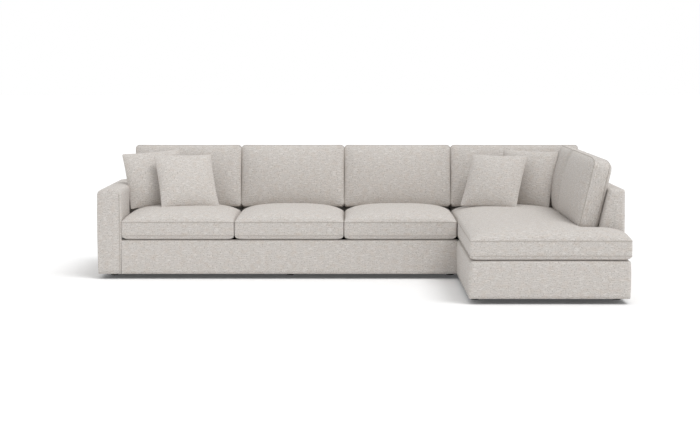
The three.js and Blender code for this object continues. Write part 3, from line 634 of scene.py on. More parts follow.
@dataclass
class Pad:
    """A sewn pad of two panels with a boxing strip between them, in a frame of its own.

    X and Y lie in the panels and Z goes from the lower seam to the upper one. The outline's
    corners go round anticlockwise and all its sides follow X or Y.
    """

    outline: Outline
    boxing: float
    crown: float
    lower_depth: float = 0.0
    lower_reach: float = 0.050
    spacing: float = 0.015
    rows: int = 6
    reach: float = 0.300
    far_side_reach: float = 0.300
    notch_reach: float = 0.090
    fullness: float = 0.5
    draw_in: float = 0.006
    corner_radius: float = 0.012
    boxing_swell: float = 0.001

    def size(self) -> tuple[float, float]:
        """The outline's width and length."""
        return max(x for x, _ in self.outline), max(y for _, y in self.outline)

    def lines(self, axis: int) -> Array:
        """The grid's lines one way: every outline corner is on one, none is far from the next, and
        they stand closer where the outer corners are round.

        Args:
            axis: 0 for the lines across X, 1 for those across Y.

        Returns:
            The lines' places.
        """
        size, radius = self.size()[axis], self.corner_radius
        rounds = {radius / 2, radius, size - radius, size - radius / 2}
        stops = sorted({corner[axis] for corner in self.outline} | rounds)
        runs = [
            np.linspace(low, high, max(2, round((high - low) / self.spacing)) + 1)[:-1]
            for low, high in zip(stops[:-1], stops[1:])
        ]
        return np.concatenate([*runs, [stops[-1]]])

    def inside(self, x: Array, y: Array) -> Array:
        """Whether places lie inside the outline: they have an odd number of its sides to their right.

        Args:
            x: Places across.
            y: Places along.

        Returns:
            True or false for each place.
        """
        odd = np.zeros(np.broadcast(x, y).shape, dtype=bool)
        for (x0, y0), (_, y1) in zip(self.outline, self.outline[1:] + self.outline[:1]):
            odd ^= (x0 > x) & ((y0 > y) != (y1 > y))
        return odd

    def swell(self, x: Array, y: Array, reach: float, far_side: float, notch: float) -> Array:
        """A panel's swell at a place, from 0 on its seams to 1: the product of its rises over each
        side of the outline's box, and over the corner that a notch cuts out of it.

        Args:
            x: Places across.
            y: Places along.
            reach: Distance from a seam in which the panel rises.
            far_side: The same from the side where X is greatest.
            notch: The same along Y from the notch.

        Returns:
            The share of the whole swell.
        """
        width, length = self.size()
        across, along = min(reach, width / 2), min(reach, length / 2)
        share = rise(x, across, self.fullness) * rise(width - x, min(far_side, width / 2), self.fullness)
        share = share * rise(y, along, self.fullness) * rise(length - y, along, self.fullness)
        if len(self.outline) > 4:
            notch_x, notch_y = self.notch()
            away = np.hypot(np.maximum(notch_x - x, 0) / reach, np.maximum(notch_y - y, 0) / notch)
            share = share * rise(away, 1.0, self.fullness)
        return share

    def notch(self) -> tuple[float, float]:
        """The inward corner of an outline that has one."""
        width, length = self.size()
        return next((x, y) for x, y in self.outline if 0 < x < width and 0 < y < length)

    def drawn(self, x: Array, y: Array) -> tuple[Array, Array]:
        """Rounds the outer corners off and draws the sides in between them.

        Within a radius of a corner, u and v are 1 on its two sides and 0 a radius away. A point
        at radius times (u, v) goes to u times the root of 1 less v squared over 2, and the same
        with u and v changed over, which lays the corner's square on a quarter of a disc.

        Args:
            x: Places across.
            y: Places along.

        Returns:
            The new places across and along.
        """
        width, length = self.size()
        s, t = 2 * x / width - 1, 2 * y / length - 1
        u = np.clip(1 - np.minimum(x, width - x) / self.corner_radius, 0, 1)
        v = np.clip(1 - np.minimum(y, length - y) / self.corner_radius, 0, 1)
        round_x = self.corner_radius * u * (1 - np.sqrt(1 - v * v / 2))
        round_y = self.corner_radius * v * (1 - np.sqrt(1 - u * u / 2))
        pull_x = width / 2 * self.draw_in * (1 - t * t) * s ** 3
        pull_y = length / 2 * self.draw_in * (1 - s * s) * t ** 3
        return x - np.sign(s) * round_x - pull_x, y - np.sign(t) * round_y - pull_y

    @staticmethod
    def laid_flat(points: Array) -> Array:
        """Cloth places on a grid: the lengths along its rows and columns from the middle ones.

        Args:
            points: Grid of places, rows by columns by 3.

        Returns:
            Grid of cloth places, rows by columns by 2.
        """
        across, along = (np.linalg.norm(np.diff(points, axis=axis), axis=-1) for axis in (0, 1))
        across = np.pad(np.cumsum(across, axis=0), ((1, 0), (0, 0)))
        along = np.pad(np.cumsum(along, axis=1), ((0, 0), (1, 0)))
        rows, columns = points.shape[:2]
        return np.stack([across - across[rows // 2], along - along[:, columns // 2, None]], axis=-1)

    def perimeter(self, xs: Array, ys: Array) -> Array:
        """Grid places round the outline, from its first corner.

        Args:
            xs: The grid's lines across X.
            ys: The grid's lines across Y.

        Returns:
            Column and row of each place, n by 2.
        """
        at = [(int(np.argmin(abs(xs - x))), int(np.argmin(abs(ys - y)))) for x, y in self.outline]
        around: list[tuple[int, int]] = []
        for (i0, j0), (i1, j1) in zip(at, at[1:] + at[:1]):
            count = max(abs(i1 - i0), abs(j1 - j0))
            around += [(i0 + (i1 - i0) * k // count, j0 + (j1 - j0) * k // count) for k in range(count)]
        return np.array(around)

    def surface(self) -> tuple[Surface, Array, Array]:
        """Works the pad out.

        The upper panel stands at the boxing's height plus the crown times its swell. The lower
        one turns under from its seam within a short reach and then lies flat. The boxing joins
        them, with a swell of its own that is a half wave from seam to seam.

        Returns:
            The surface in the pad's own frame, and the points of the upper and the lower seam.
        """
        lower_cloth, boxing_cloth = 3.0, 7.0  # metres between the panels' places on the cloth
        xs, ys = self.lines(0), self.lines(1)
        x, y = np.meshgrid(xs, ys, indexing="ij")
        cells = self.inside((x[:-1, :-1] + x[1:, 1:]) / 2, (y[:-1, :-1] + y[1:, 1:]) / 2)
        used = np.zeros(x.shape, dtype=bool)
        for di in (0, 1):
            for dj in (0, 1):
                used[di:di + cells.shape[0], dj:dj + cells.shape[1]] |= cells
        px, py = self.drawn(x, y)
        crown = self.crown * self.swell(x, y, self.reach, self.far_side_reach, self.notch_reach)
        upper = np.stack([px, py, self.boxing + crown], axis=-1)
        sink = self.lower_depth * self.swell(x, y, *(self.lower_reach,) * 3)
        lower = np.stack([px, py, -sink], axis=-1)

        count = int(used.sum())
        number = np.full(x.shape, -1)
        number[used] = np.arange(count)
        around = self.perimeter(xs, ys)
        seam = number[around[:, 0], around[:, 1]]
        i, j = np.nonzero(cells)
        quads = np.stack([number[i, j], number[i + 1, j], number[i + 1, j + 1], number[i, j + 1]], axis=1)
        flat = self.laid_flat(upper)[used]

        edge = upper[around[:, 0], around[:, 1]]
        foot = lower[around[:, 0], around[:, 1]]
        forward = np.roll(edge, -1, axis=0) - np.roll(edge, 1, axis=0)
        outward = np.stack([forward[:, 1], -forward[:, 0], np.zeros(len(edge))], axis=1)
        outward /= np.linalg.norm(outward, axis=1, keepdims=True)
        t = np.arange(1, self.rows)[:, None, None] / self.rows
        strip = edge + (foot - edge) * t + outward * self.boxing_swell * np.sin(np.pi * t)

        ring = len(around)
        inner = 2 * count + np.arange((self.rows - 1) * ring).reshape(-1, ring)
        levels = np.vstack([seam, inner, seam + count])
        nearby = np.roll(levels, -1, axis=1)
        walls = np.stack([levels[:-1], levels[1:], nearby[1:], nearby[:-1]], axis=-1).reshape(-1, 4)
        length = distances(np.concatenate([edge, edge[:1]]))
        drop = np.linspace(0, self.boxing, self.rows + 1)
        along = grid(length[None, :], -drop[:, None])
        corners = [along[:-1, :-1], along[1:, :-1], along[1:, 1:], along[:-1, 1:]]
        wall_cloth = np.stack(corners, axis=2).reshape(-1, 4, 2)

        points = np.concatenate([upper[used], lower[used], strip.reshape(-1, 3)])
        faces = np.concatenate([quads, quads[:, ::-1] + count, walls])
        cloth = [flat[quads], flat[quads[:, ::-1]] + lower_cloth, wall_cloth + boxing_cloth]
        return Surface(points, faces, np.concatenate(cloth)), seam, seam + count


@dataclass(frozen=True)
class Settling:
    """How a pad's cloth settles: the pressure of its filling, the cloth's resistance to bending
    and the furthest that a point may move."""

    pressure: float = 3.0
    stiffness: float = 2.0
    cap: float = 0.006
    frames: int = 20

    def settle(self, piece: Piece, held: Array) -> None:
        """Lets a pad's cloth settle under the pressure of its filling and keeps the result.

        Each point moves from its modelled place towards its settled one, all by the same share
        of the way, so that none goes further than the cap.

        Args:
            piece: The pad's object.
            held: Points that stay in their place, such as the seams and what lies on the deck.
        """
        group = piece.vertex_groups.new(name="held")
        group.add(held.tolist(), 1.0, "REPLACE")
        modifier = piece.modifiers.new("cloth", "CLOTH")
        cloth = modifier.settings
        cloth.quality = 5
        cloth.mass = 0.4
        cloth.tension_stiffness = 25
        cloth.compression_stiffness = 25
        cloth.shear_stiffness = 8
        cloth.bending_stiffness = self.stiffness
        cloth.use_pressure = True
        cloth.uniform_pressure_force = self.pressure
        cloth.effector_weights.gravity = 0
        cloth.vertex_group_mass = "held"
        modifier.point_cache.frame_start = 1
        modifier.point_cache.frame_end = self.frames
        before = coordinates(piece.data)
        scene = bpy.context.scene
        for step in range(1, self.frames + 1):
            scene.frame_set(step)
        evaluated = piece.evaluated_get(bpy.context.evaluated_depsgraph_get())
        move = coordinates(evaluated.to_mesh()) - before
        evaluated.to_mesh_clear()
        piece.modifiers.remove(modifier)
        piece.vertex_groups.remove(group)
        scene.frame_set(1)
        furthest = float(np.linalg.norm(move, axis=1).max())
        log.info("%s settled by up to %.1f mm", piece.name, furthest / MILLIMETRE)
        share = min(1.0, self.cap / max(furthest, TINY))
        piece.data.vertices.foreach_set("co", (before + move * share).astype(np.float32).ravel())
        piece.data.update()


def coordinates(mesh: bpy.types.Mesh) -> Array:
    """Reads a mesh's points.

    Args:
        mesh: The mesh.

    Returns:
        The points, n by 3.
    """
    flat = np.empty(3 * len(mesh.vertices), dtype=np.float32)
    mesh.vertices.foreach_get("co", flat)
    return flat.reshape(-1, 3).astype(float)


def smooth(piece: Piece, seams: Sequence[Array], sharpness: float) -> None:
    """Smooths a pad by one subdivision, the same in the view and in the render, and keeps its
    seams crisp.

    Args:
        piece: The pad's object.
        seams: Points of each seam, in order round it.
        sharpness: From 0 for round to 1 for sharp.
    """
    mesh = piece.data
    pairs = {frozenset(pair) for seam in seams for pair in zip(seam.tolist(), np.roll(seam, -1).tolist())}
    layer = mesh.attributes.new("crease_edge", "FLOAT", "EDGE")
    ends = np.empty(2 * len(mesh.edges), dtype=np.int32)
    mesh.edges.foreach_get("vertices", ends)
    values = [sharpness if frozenset(pair) in pairs else 0.0 for pair in ends.reshape(-1, 2).tolist()]
    layer.data.foreach_set("value", np.array(values, dtype=np.float32))
    modifier = piece.modifiers.new("smooth", "SUBSURF")
    modifier.levels = 1
    modifier.render_levels = 1


@dataclass
class Cushion:
    """A loose cushion: its pad, its place in the room and the body that it moves with."""

    node: str
    pad: Pad
    place: Place
    settling: Settling = Settling()
    fill: float = 0.7
    sharpness: float = 0.85
    seam_radius: float = 0.0019
    seam_proud: float = 0.0005

    def build(self, finish: Finish, seam_shade_finish: Finish) -> None:
        """Makes the cushion and its seams.

        Args:
            finish: The cloth.
            seam_shade_finish: The seams' cloth, darker than the cushion's cloth as painted shade for the
                fold along each seam.
        """
        surface, top, bottom = self.pad.surface()
        surface.points = self.place(surface.points)
        made = surface.piece(f"{self.node}_cover", finish)
        held = np.unique(np.concatenate([self._resting(surface), top, bottom]))
        self.settling.settle(made, held)
        now = coordinates(made.data)
        middle = now.mean(axis=0)
        smooth(made, (top, bottom), self.sharpness)
        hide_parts(self.node)
        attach(made, self.node)
        for word, seam in (("upper", top), ("lower", bottom)):
            outward = now[seam] - middle
            outward /= np.linalg.norm(outward, axis=1, keepdims=True)
            # Each seam is a thin real tube in the seams' cloth, whose darker colour is painted shade for the
            # seam's fold.
            line = tube(now[seam] + outward * self.seam_proud, self.seam_radius)
            stitched = line.piece(f"{self.node}_{word}_seam", seam_shade_finish)
            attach(stitched, self.node)
        log.info("%s made", made.name)

    def _resting(self, surface: Surface) -> Array:
        """Points of the lower panel away from its seam, which lie on the deck or the back.

        Args:
            surface: The pad in its place.

        Returns:
            Their numbers.
        """
        flat_share = 0.9
        flat = self.place(np.array([[0.0, 0.0, 0.0], [1.0, 0.0, 0.0], [0.0, 1.0, 0.0]]))
        up = np.cross(flat[1] - flat[0], flat[2] - flat[0])
        up /= np.linalg.norm(up)
        height = (surface.points - flat[0]) @ up
        return np.nonzero(height <= -flat_share * self.pad.lower_depth)[0]


@dataclass
class SeatCushions:
    """The three seat cushions and the chaise cushion, level on their decks."""

    gap: float = 0.004
    overhang: float = 0.008
    chaise_overhang: float = 0.004
    tuck: float = 0.012
    notch_tuck: float = 0.020
    crown: float = 0.078
    fullness: float = 0.4
    open_side_reach: float = 0.200

    def cushion(self, node: str, outline: Outline, corner: tuple[float, float], **reach: float) -> Cushion:
        """One seat cushion: crowned above, flat on the deck below.

        Args:
            node: The node that it stands for.
            outline: The pad's outline.
            corner: Where its front left corner stands.
            **reach: The pad's far_side_reach where it isn't the usual one.

        Returns:
            The cushion.
        """
        pad = Pad(
            outline,
            boxing=SEAT_SEAM_TOP - SEAT_SEAM_BOTTOM,
            crown=self.crown,
            lower_depth=SEAT_SEAM_BOTTOM - BORDER_TOP - REST_GAP,
            fullness=self.fullness,
            **reach,
        )
        shift = np.array([*corner, SEAT_SEAM_BOTTOM])
        return Cushion(node, pad, lambda points: points + shift)

    def build(self, *finishes: Finish) -> None:
        """Makes the four cushions.

        Args:
            *finishes: The cloth, and the seams' cloth, darkened as painted shade for their folds.
        """
        rear = REAR - back_thickness(BORDER_TOP) - self.tuck
        left = ARM_INSIDE
        for number, width in enumerate((OUTER_SEAT, MIDDLE_SEAT, OUTER_SEAT), 1):
            outline = box_outline(width - self.gap, rear - SEAT_FRONT + self.overhang)
            corner = (left + self.gap / 2, SEAT_FRONT - self.overhang)
            self.cushion(f"seat_cushion_{number}", outline, corner).build(*finishes)
            left += width
        corner = (left + self.gap / 2, CHAISE_FRONT - self.chaise_overhang)
        outline = notched_outline(
            RIGHT + self.chaise_overhang - corner[0],
            rear - corner[1],
            RIGHT - back_thickness(BORDER_TOP) - self.tuck - corner[0],
            RETURN_FRONT - self.notch_tuck - corner[1],
        )
        chaise = self.cushion("chaise_cushion", outline, corner, far_side_reach=self.open_side_reach)
        chaise.build(*finishes)


@dataclass
class Lean:
    """Stands a pad on its side against a leaning back.

    The pad's X runs along the back, its Y up the lean and its Z out towards the seat. The pad
    stands off the back by its rest. Where it droops, its upper corner at the free end sinks by
    a square that grows over the end's reach.
    """

    corner: tuple[float, float]
    height: float
    run: Run
    width: float
    pad_height: float
    rest: float
    side_lean: Callable[[Array], Array] | None = None
    droop: float = 0.0
    droop_reach: float = 0.220

    def __call__(self, points: Array) -> Array:
        """Places the pad.

        Args:
            points: Places in the pad's own frame, n by 3.

        Returns:
            Their places in the room.
        """
        sine, cosine = math.sin(BACK_LEAN), math.cos(BACK_LEAN)
        x, y, z = points.T
        near = np.clip((x - self.width) / self.droop_reach + 1, 0, 1)
        y = y - self.droop * near ** 2 * y / self.pad_height
        z = z + self.rest
        risen = y * cosine + z * sine
        if self.side_lean is not None:
            x = x + self.side_lean(x / self.width) * risen * math.tan(BACK_LEAN)
        out = y * sine - z * cosine
        if self.run is Run.ALONG_X:
            return np.stack([self.corner[0] + x, self.corner[1] + out, self.height + risen], axis=1)
        return np.stack([self.corner[0] + out, self.corner[1] - x, self.height + risen], axis=1)


@dataclass
class BackCushions:
    """Four back cushions along the rear and two on the return, all leaning on the backs."""

    gap: float = 0.003
    bottom: float = 0.415
    height: float = 0.446
    boxing: float = 0.100
    crown: float = 0.052
    rest: float = 0.023
    split: float = 0.200
    setback: float = 0.070
    press: float = 0.044
    swell: float = 0.006
    corner_radius: float = 0.026
    end_corner_radius: float = 0.036
    end_droop: float = 0.020

    def cushion(
        self, node: str, width: float, corner: tuple[float, float], run: Run,
        side_lean: Callable[[Array], Array] | None = None, droops: bool = False,
    ) -> Cushion:
        """One back cushion: full in front, flatter behind.

        Args:
            node: The node that it stands for.
            width: Its width along the back.
            corner: Where its lowest rear corner stands.
            run: ALONG_X for a rear back, ALONG_Y for the return, where X runs to the front.
            side_lean: Share of a side lean by the place along the pad, or None.
            droops: Whether its upper corner at the free end sinks.

        Returns:
            The cushion.
        """
        pad = Pad(
            box_outline(width, self.height),
            boxing=self.boxing,
            crown=self.crown,
            lower_depth=self.rest - REST_GAP,
            boxing_swell=self.swell,
            corner_radius=self.end_corner_radius if droops else self.corner_radius,
        )
        droop = self.end_droop if droops else 0.0
        place = Lean(corner, self.bottom, run, width, self.height, self.rest, side_lean, droop)
        return Cushion(node, pad, place)

    def build(self, *finishes: Finish) -> None:
        """Makes the six cushions.

        Args:
            *finishes: The cloth, and the seams' cloth, darkened as painted shade for their folds.
        """
        rear = REAR - back_thickness(self.bottom)
        side = RIGHT - back_thickness(self.bottom)
        widths = (OUTER_SEAT, MIDDLE_SEAT, OUTER_SEAT, side - JOINT)
        left = ARM_INSIDE
        for number, width in enumerate(widths, 1):
            lean = (lambda share: share) if number == len(widths) else None
            corner = (left + self.gap / 2, rear)
            made = self.cushion(f"back_cushion_{number}", width - self.gap, corner, Run.ALONG_X, lean)
            made.build(*finishes)
            left += width
        start = rear - (self.rest + self.boxing + self.press) / math.cos(BACK_LEAN)
        split = SEAT_FRONT + self.split
        width = start - split - self.gap
        lean = lambda share: share - 1
        self.cushion("return_cushion_rear", width, (side, start), Run.ALONG_Y, lean).build(*finishes)
        width = split - RETURN_FRONT - self.setback
        self.cushion("return_cushion_front", width, (side, split), Run.ALONG_Y, droops=True).build(*finishes)


@dataclass
class Pillow:
    """A knife-edged loose pillow: two square panels sewn at their rim. It may be pressed a little
    into its soft neighbours."""

    node: str
    yaw: float
    lean: float
    roll: float
    pressed: tuple[float, float, float] = (0.0, 0.0, 0.0)
    side: float = 0.420
    thickness: float = 0.140
    rim: float = 0.004
    spacing: float = 0.0105
    fullness: float = 0.62
    draw_in: float = 0.03
    fill: float = 0.6
    sharpness: float = 0.6
    settling: Settling = Settling(pressure=5.0, stiffness=1.0, cap=0.008)

    def axes(self) -> Array:
        """The pillow's own X, Y and Z in the room: rolled, tipped back and turned.

        Returns:
            A matrix with the axes as its columns.
        """
        (yaw_sin, yaw_cos), (tip_sin, tip_cos), (roll_sin, roll_cos) = (
            (math.sin(angle), math.cos(angle))
            for angle in map(math.radians, (self.yaw, 90 - self.lean, self.roll))
        )
        turned = np.array([[yaw_cos, -yaw_sin, 0], [yaw_sin, yaw_cos, 0], [0, 0, 1]])
        tipped = np.array([[1, 0, 0], [0, tip_cos, -tip_sin], [0, tip_sin, tip_cos]])
        rolled = np.array([[roll_cos, -roll_sin, 0], [roll_sin, roll_cos, 0], [0, 0, 1]])
        return turned @ tipped @ rolled

    def build(self, finish: Finish) -> None:
        """Makes the pillow where its solid stands.

        Args:
            finish: The cloth.
        """
        half = self.side / 2
        pad = Pad(
            box_outline(self.side, self.side),
            boxing=self.rim,
            crown=(self.thickness - self.rim) / 2,
            lower_depth=(self.thickness - self.rim) / 2,
            spacing=self.spacing,
            lower_reach=half,
            rows=1,
            reach=half,
            far_side_reach=half,
            fullness=self.fullness,
            draw_in=self.draw_in,
            boxing_swell=0.0,
        )
        surface, top, bottom = pad.surface()
        low, high = (np.array(corner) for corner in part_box(self.node))
        local = (surface.points - [half, half, self.rim / 2]) @ self.axes().T
        middle = (local.min(axis=0) + local.max(axis=0)) / 2
        surface.points = local - middle + (low + high) / 2 + self.pressed
        made = surface.piece(f"{self.node}_cover", finish)
        self.settling.settle(made, np.concatenate([top, bottom]))
        smooth(made, (top, bottom), self.sharpness)
        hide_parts(self.node)
        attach(made, self.node)
        log.info("%s made", made.name)


# Covers


def turn_outwards(made: Piece) -> None:
    """Turns a surface's faces outwards if the volume that they enclose comes out negative.

    Args:
        made: The surface's object.
    """
    points = coordinates(made.data)
    points = points - points.mean(axis=0)
    made.data.calc_loop_triangles()
    triangles = np.empty(3 * len(made.data.loop_triangles), dtype=np.int32)
    made.data.loop_triangles.foreach_get("vertices", triangles)
    a, b, c = (points[triangles.reshape(-1, 3)[:, k]] for k in range(3))
    if float(np.einsum("ij,ij->i", a, np.cross(b, c)).sum()) < 0:
        made.data.flip_normals()


def dress_padding(surface: Surface, name: str, nodes: Sequence[str], finish: Finish) -> None:
    """Makes the foam and cloth over a part of the frame, with its wall and its ties to the model.

    Args:
        surface: The cloth's outer face.
        name: What the piece is called before "padding".
        nodes: The nodes that it stands for.
        finish: The cloth.
    """
    made = surface.piece(f"{name}_padding", finish)
    turn_outwards(made)
    wall = made.modifiers.new("wall", "SOLIDIFY")
    wall.thickness = PADDING_WALL
    wall.offset = -1
    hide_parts(*nodes)
    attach(made, BODY)
    log.info("%s made", made.name)


@dataclass
class Cover:
    """Foam and cloth stretched over a frame: a section carried along the room, with rounded ends.

    The section is an open path in (inward, up), where inward is the distance from the outside
    face. Near an end each of its points moves towards the section's middle line, by the radius
    times one less the sine of a quarter turn, and then on across the end's flat panel.
    """

    node: str
    section: Array
    middle: Array
    run: Run
    outside: float
    inward: int
    start: float
    end: Callable[[Array], Array] | float
    end_radius: float = 0.014
    end_closed: bool = False
    spacing: float = 0.025
    panel_crown: float = 0.004
    round_points: int = 6
    panel_points: int = 9

    def _place(self, across: Array, up: Array, along: Array) -> Array:
        """Room places from the distance inward, the height and the place along the run."""
        side = self.outside + self.inward * across
        return grid(along, side, up) if self.run is Run.ALONG_X else grid(side, along, up)

    def build(self, finish: Finish) -> None:
        """Makes the cover.

        Args:
            finish: The cloth.
        """
        last = self.end(self.section) if callable(self.end) else np.full(len(self.section), self.end)
        way = np.sign(last.mean() - self.start)
        steps = max(2, math.ceil(abs(last.mean() - self.start) / self.spacing))
        quarter = np.linspace(0, np.pi / 2, self.round_points)
        turned_in = self.end_radius * (1 - np.sin(quarter))
        run_in = way * self.end_radius * (1 - np.cos(quarter))
        near = np.broadcast_to((self.start + run_in)[:, None], (self.round_points, len(last)))
        far = last[None] - run_in[::-1, None] if self.end_closed else last[None]
        body = near[-1] + (far[0] - near[-1]) * np.linspace(0, 1, steps)[1:-1, None]
        along = np.concatenate([near, body, far])
        far_in = turned_in[::-1] if self.end_closed else np.zeros(1)
        inset = np.concatenate([turned_in, np.zeros(len(body)), far_in])

        toward = self.middle - self.section
        reach = np.maximum(np.linalg.norm(toward, axis=1), TINY)
        share = np.minimum(inset[:, None] / reach[None], 1.0)
        moved = self.section[None] + toward[None] * share[..., None]
        points = self._place(moved[..., 0], moved[..., 1], along)
        parts = [Surface.lattice(points, grid(along, distances(self.section)[None]))]
        parts.append(self._panel(moved[0], along[0], -way, False))
        if self.end_closed:
            parts.append(self._panel(moved[-1], along[-1], way, True))
        dress_padding(parts[0].joined(*parts[1:]), self.node, [self.node], finish)

    def _panel(self, edge: Array, along: Array, way: float, flip: bool) -> Surface:
        """An end's flat panel: from the edge to the middle line, crowned by a half wave.

        Args:
            edge: The end's outline, n by 2.
            along: Where each of its points is along the run.
            way: The way in which the panel faces along the run, 1 or -1.
            flip: Turns the faces to the other side.

        Returns:
            The panel's surface.
        """
        share = np.linspace(0, 1, self.panel_points)[:, None, None]
        flat = edge[None] + (self.middle - edge)[None] * share
        out = along[None] + way * self.panel_crown * np.sin(share[..., 0] * np.pi / 2)
        return Surface.lattice(self._place(flat[..., 0], flat[..., 1], out), flat, not flip)


@dataclass
class Covers:
    """All padded covers of the frame: arm, borders and backs."""

    arm_radius: float = 0.036
    back_radius: float = 0.016
    border_radius: float = 0.014
    upright_radius: float = 0.020
    lip_radius: float = 0.004
    lip_depth: float = 0.060
    lip_drop: float = 0.027
    bulge: float = 0.003
    spacing: float = 0.030
    border_spacing: float = 0.020
    back_end_radius: float = 0.004
    border_end_radius: float = 0.003
    foot_middle: float = 0.009
    rear_cloth: float = 0.0183
    corner_lap: float = 0.004
    arm_front_radius: float = 0.010
    arm_seam_radius: float = 0.0022
    arm_seam_lift: float = 0.004
    arm_seam_inset: float = 0.001
    arm_seam_share: float = 0.6
    arm_seam_points: int = 60

    def arm(self) -> Cover:
        """The arm: a round-edged box, open below.

        Returns:
            The arm's cover.
        """
        width = ARM_INSIDE - LEFT
        corners = [
            (0, UNDERSIDE, 0), (0, ARM_TOP, self.arm_radius),
            (width, ARM_TOP, self.arm_radius), (width, UNDERSIDE, 0),
        ]
        section = rounded_path(corners, self.spacing, self.bulge)
        height = np.minimum(section[:, 1], ARM_TOP - width / 2)
        return Cover(
            "arm_cover", section, grid(width / 2, height), Run.ALONG_Y, LEFT, 1, SEAT_FRONT, REAR,
            end_radius=self.arm_front_radius, end_closed=True,
        )

    def _arm_seam(self, finish: Finish) -> None:
        """The upright seam of the arm's front panel, straight up where its inner edge's round ends.

        Args:
            finish: The seam's cloth, darkened as painted shade for its fold.
        """
        top = ARM_TOP - self.arm_radius * self.arm_seam_share
        z = np.linspace(UNDERSIDE + self.arm_seam_lift, top, self.arm_seam_points)
        path = grid(ARM_INSIDE - self.arm_front_radius - self.arm_seam_inset, SEAT_FRONT - REST_GAP, z)
        made = tube(path, self.arm_seam_radius, closed=False).piece("arm_cover_front_seam", finish)
        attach(made, BODY)

    def back_section(self) -> tuple[Array, Array]:
        """A back's section: upright outside, level top and leaning inside.

        Returns:
            The section and its middle line.
        """
        low = BORDER_TOP + SIDE_GAP
        corners = [
            (0, UNDERSIDE, 0), (0, BACK_TOP, self.back_radius),
            (BACK_TOP_THICKNESS, BACK_TOP, self.back_radius), (back_thickness(low), low, 0),
        ]
        section = rounded_path(corners, self.spacing, self.bulge)
        height = np.minimum(section[:, 1], BACK_TOP - BACK_TOP_THICKNESS / 2)
        depth = np.where(height < low - TINY, self.foot_middle, back_thickness(height) / 2)
        return section, grid(depth, height)

    def build(self, finish: Finish, seam_shade_finish: Finish) -> None:
        """Makes every cover.

        Args:
            finish: The cloth.
            seam_shade_finish: The seams' cloth, darkened as painted shade for their folds.
        """
        self.arm().build(finish)
        self._arm_seam(seam_shade_finish)
        back = self.back_section()
        sofa_back = Cover(
            "sofa_back_cover", *back, Run.ALONG_X, REAR, -1, ARM_INSIDE + SIDE_GAP, JOINT - JOINT_GAP,
            end_radius=self.back_end_radius, end_closed=True,
        )
        chaise_back = Cover(
            "chaise_back_cover", *back, Run.ALONG_X, REAR, -1, RIGHT - self.corner_lap, JOINT,
            end_radius=self.upright_radius, end_closed=True, panel_crown=0.0,
        )
        return_back = Cover(
            "return_back_cover", *back, Run.ALONG_Y, RIGHT, -1, RETURN_FRONT, self.return_end,
            end_radius=self.upright_radius,
        )
        for cover in (sofa_back, chaise_back, return_back):
            cover.build(finish)
        self._front_border(finish)
        self._chaise_band(finish)

    def return_end(self, section: Array) -> Array:
        """Where the return's cover ends: its outside laps over the rear back's end as far as that
        back's outer cloth, and the rest stops at the rear back's leaning face.

        Args:
            section: The back's section, n by 2.

        Returns:
            The end along Y of each of its points.
        """
        across, height = section.T
        return np.where(across <= 0, REAR - self.rear_cloth, REAR - REST_GAP - back_thickness(height))

    def _border_section(self) -> Array:
        """A border's section: its face, its rounded top edge and its lip."""
        corners = [
            (0, UNDERSIDE, 0), (0, BORDER_TOP, self.border_radius),
            (self.lip_depth, BORDER_TOP, self.lip_radius), (self.lip_depth, BORDER_TOP - self.lip_drop, 0),
        ]
        return rounded_path(corners, self.border_spacing, self.bulge)

    def _front_border(self, finish: Finish) -> None:
        """The border under the three seats, its ends turned in a little.

        Args:
            finish: The cloth.
        """
        round_points, level_points = 5, 78
        section = self._border_section()
        across, up = section.T
        start, end = ARM_INSIDE + SIDE_GAP, JOINT - JOINT_GAP
        turn = np.linspace(0, np.pi / 2, round_points)
        ends = self.border_end_radius * (1 - np.cos(turn))
        turned_in = self.border_end_radius * (1 - np.sin(turn))
        level_run = np.linspace(start, end, level_points + 2)[1:-1]
        along = np.concatenate([start + ends, level_run, end - ends[::-1]])[:, None]
        inset = np.concatenate([turned_in, np.zeros(level_points), turned_in[::-1]])[:, None]
        deep = across + inset * (across < self.lip_depth / 2)
        surface = Surface.lattice(grid(along, SEAT_FRONT + deep, up), grid(along, distances(section)))
        dress_padding(surface.joined(), "sofa_front_border", ["sofa_front_border"], finish)

    def _chaise_band(self, finish: Finish) -> None:
        """The chaise's border in one band: up its left side, round both front corners and back to
        the return. A point at a depth lies on the outline's inner copy at that depth, whose corners
        are round while the depth is less than the corner's radius.

        Args:
            finish: The cloth.
        """
        section, radius = self._border_section(), self.upright_radius
        left, right, front = JOINT + radius, RIGHT - radius, CHAISE_FRONT + radius
        round_points, side_points, level_points, short_points = 8, 110, 60, 20
        turn = np.linspace(0, np.pi / 2, round_points)
        side = np.linspace(REAR - self.rear_cloth, front, side_points)
        level_run = np.linspace(left, right, level_points)
        short = np.linspace(front, RETURN_FRONT - SIDE_GAP, short_points)
        still = np.zeros_like(turn)
        centres = np.concatenate([
            grid(left, side), grid(left + still, front), grid(level_run, front), grid(right + still, front),
            grid(right, short),
        ])
        normals = np.concatenate([
            np.tile([-1.0, 0.0], (len(side), 1)),
            grid(-np.cos(turn), -np.sin(turn)),
            np.tile([0.0, -1.0], (len(level_run), 1)),
            grid(np.sin(turn), -np.cos(turn)),
            np.tile([1.0, 0.0], (len(short), 1)),
        ])
        depth, up = section.T
        deeper = np.maximum(depth - radius, 0)
        x = np.clip(centres[:, None, 0], left + deeper, right - deeper)
        y = np.maximum(centres[:, None, 1], front + deeper)
        out = np.maximum(radius - depth, 0)
        points = grid(x + normals[:, None, 0] * out, y + normals[:, None, 1] * out, up)
        along = distances(centres + normals * radius)
        surface = Surface.lattice(points, grid(along[:, None], distances(section)))
        nodes = ["chaise_front_border", "chaise_left_border", "chaise_right_border"]
        dress_padding(surface.joined(), "chaise_border", nodes, finish)


# Under the cushions


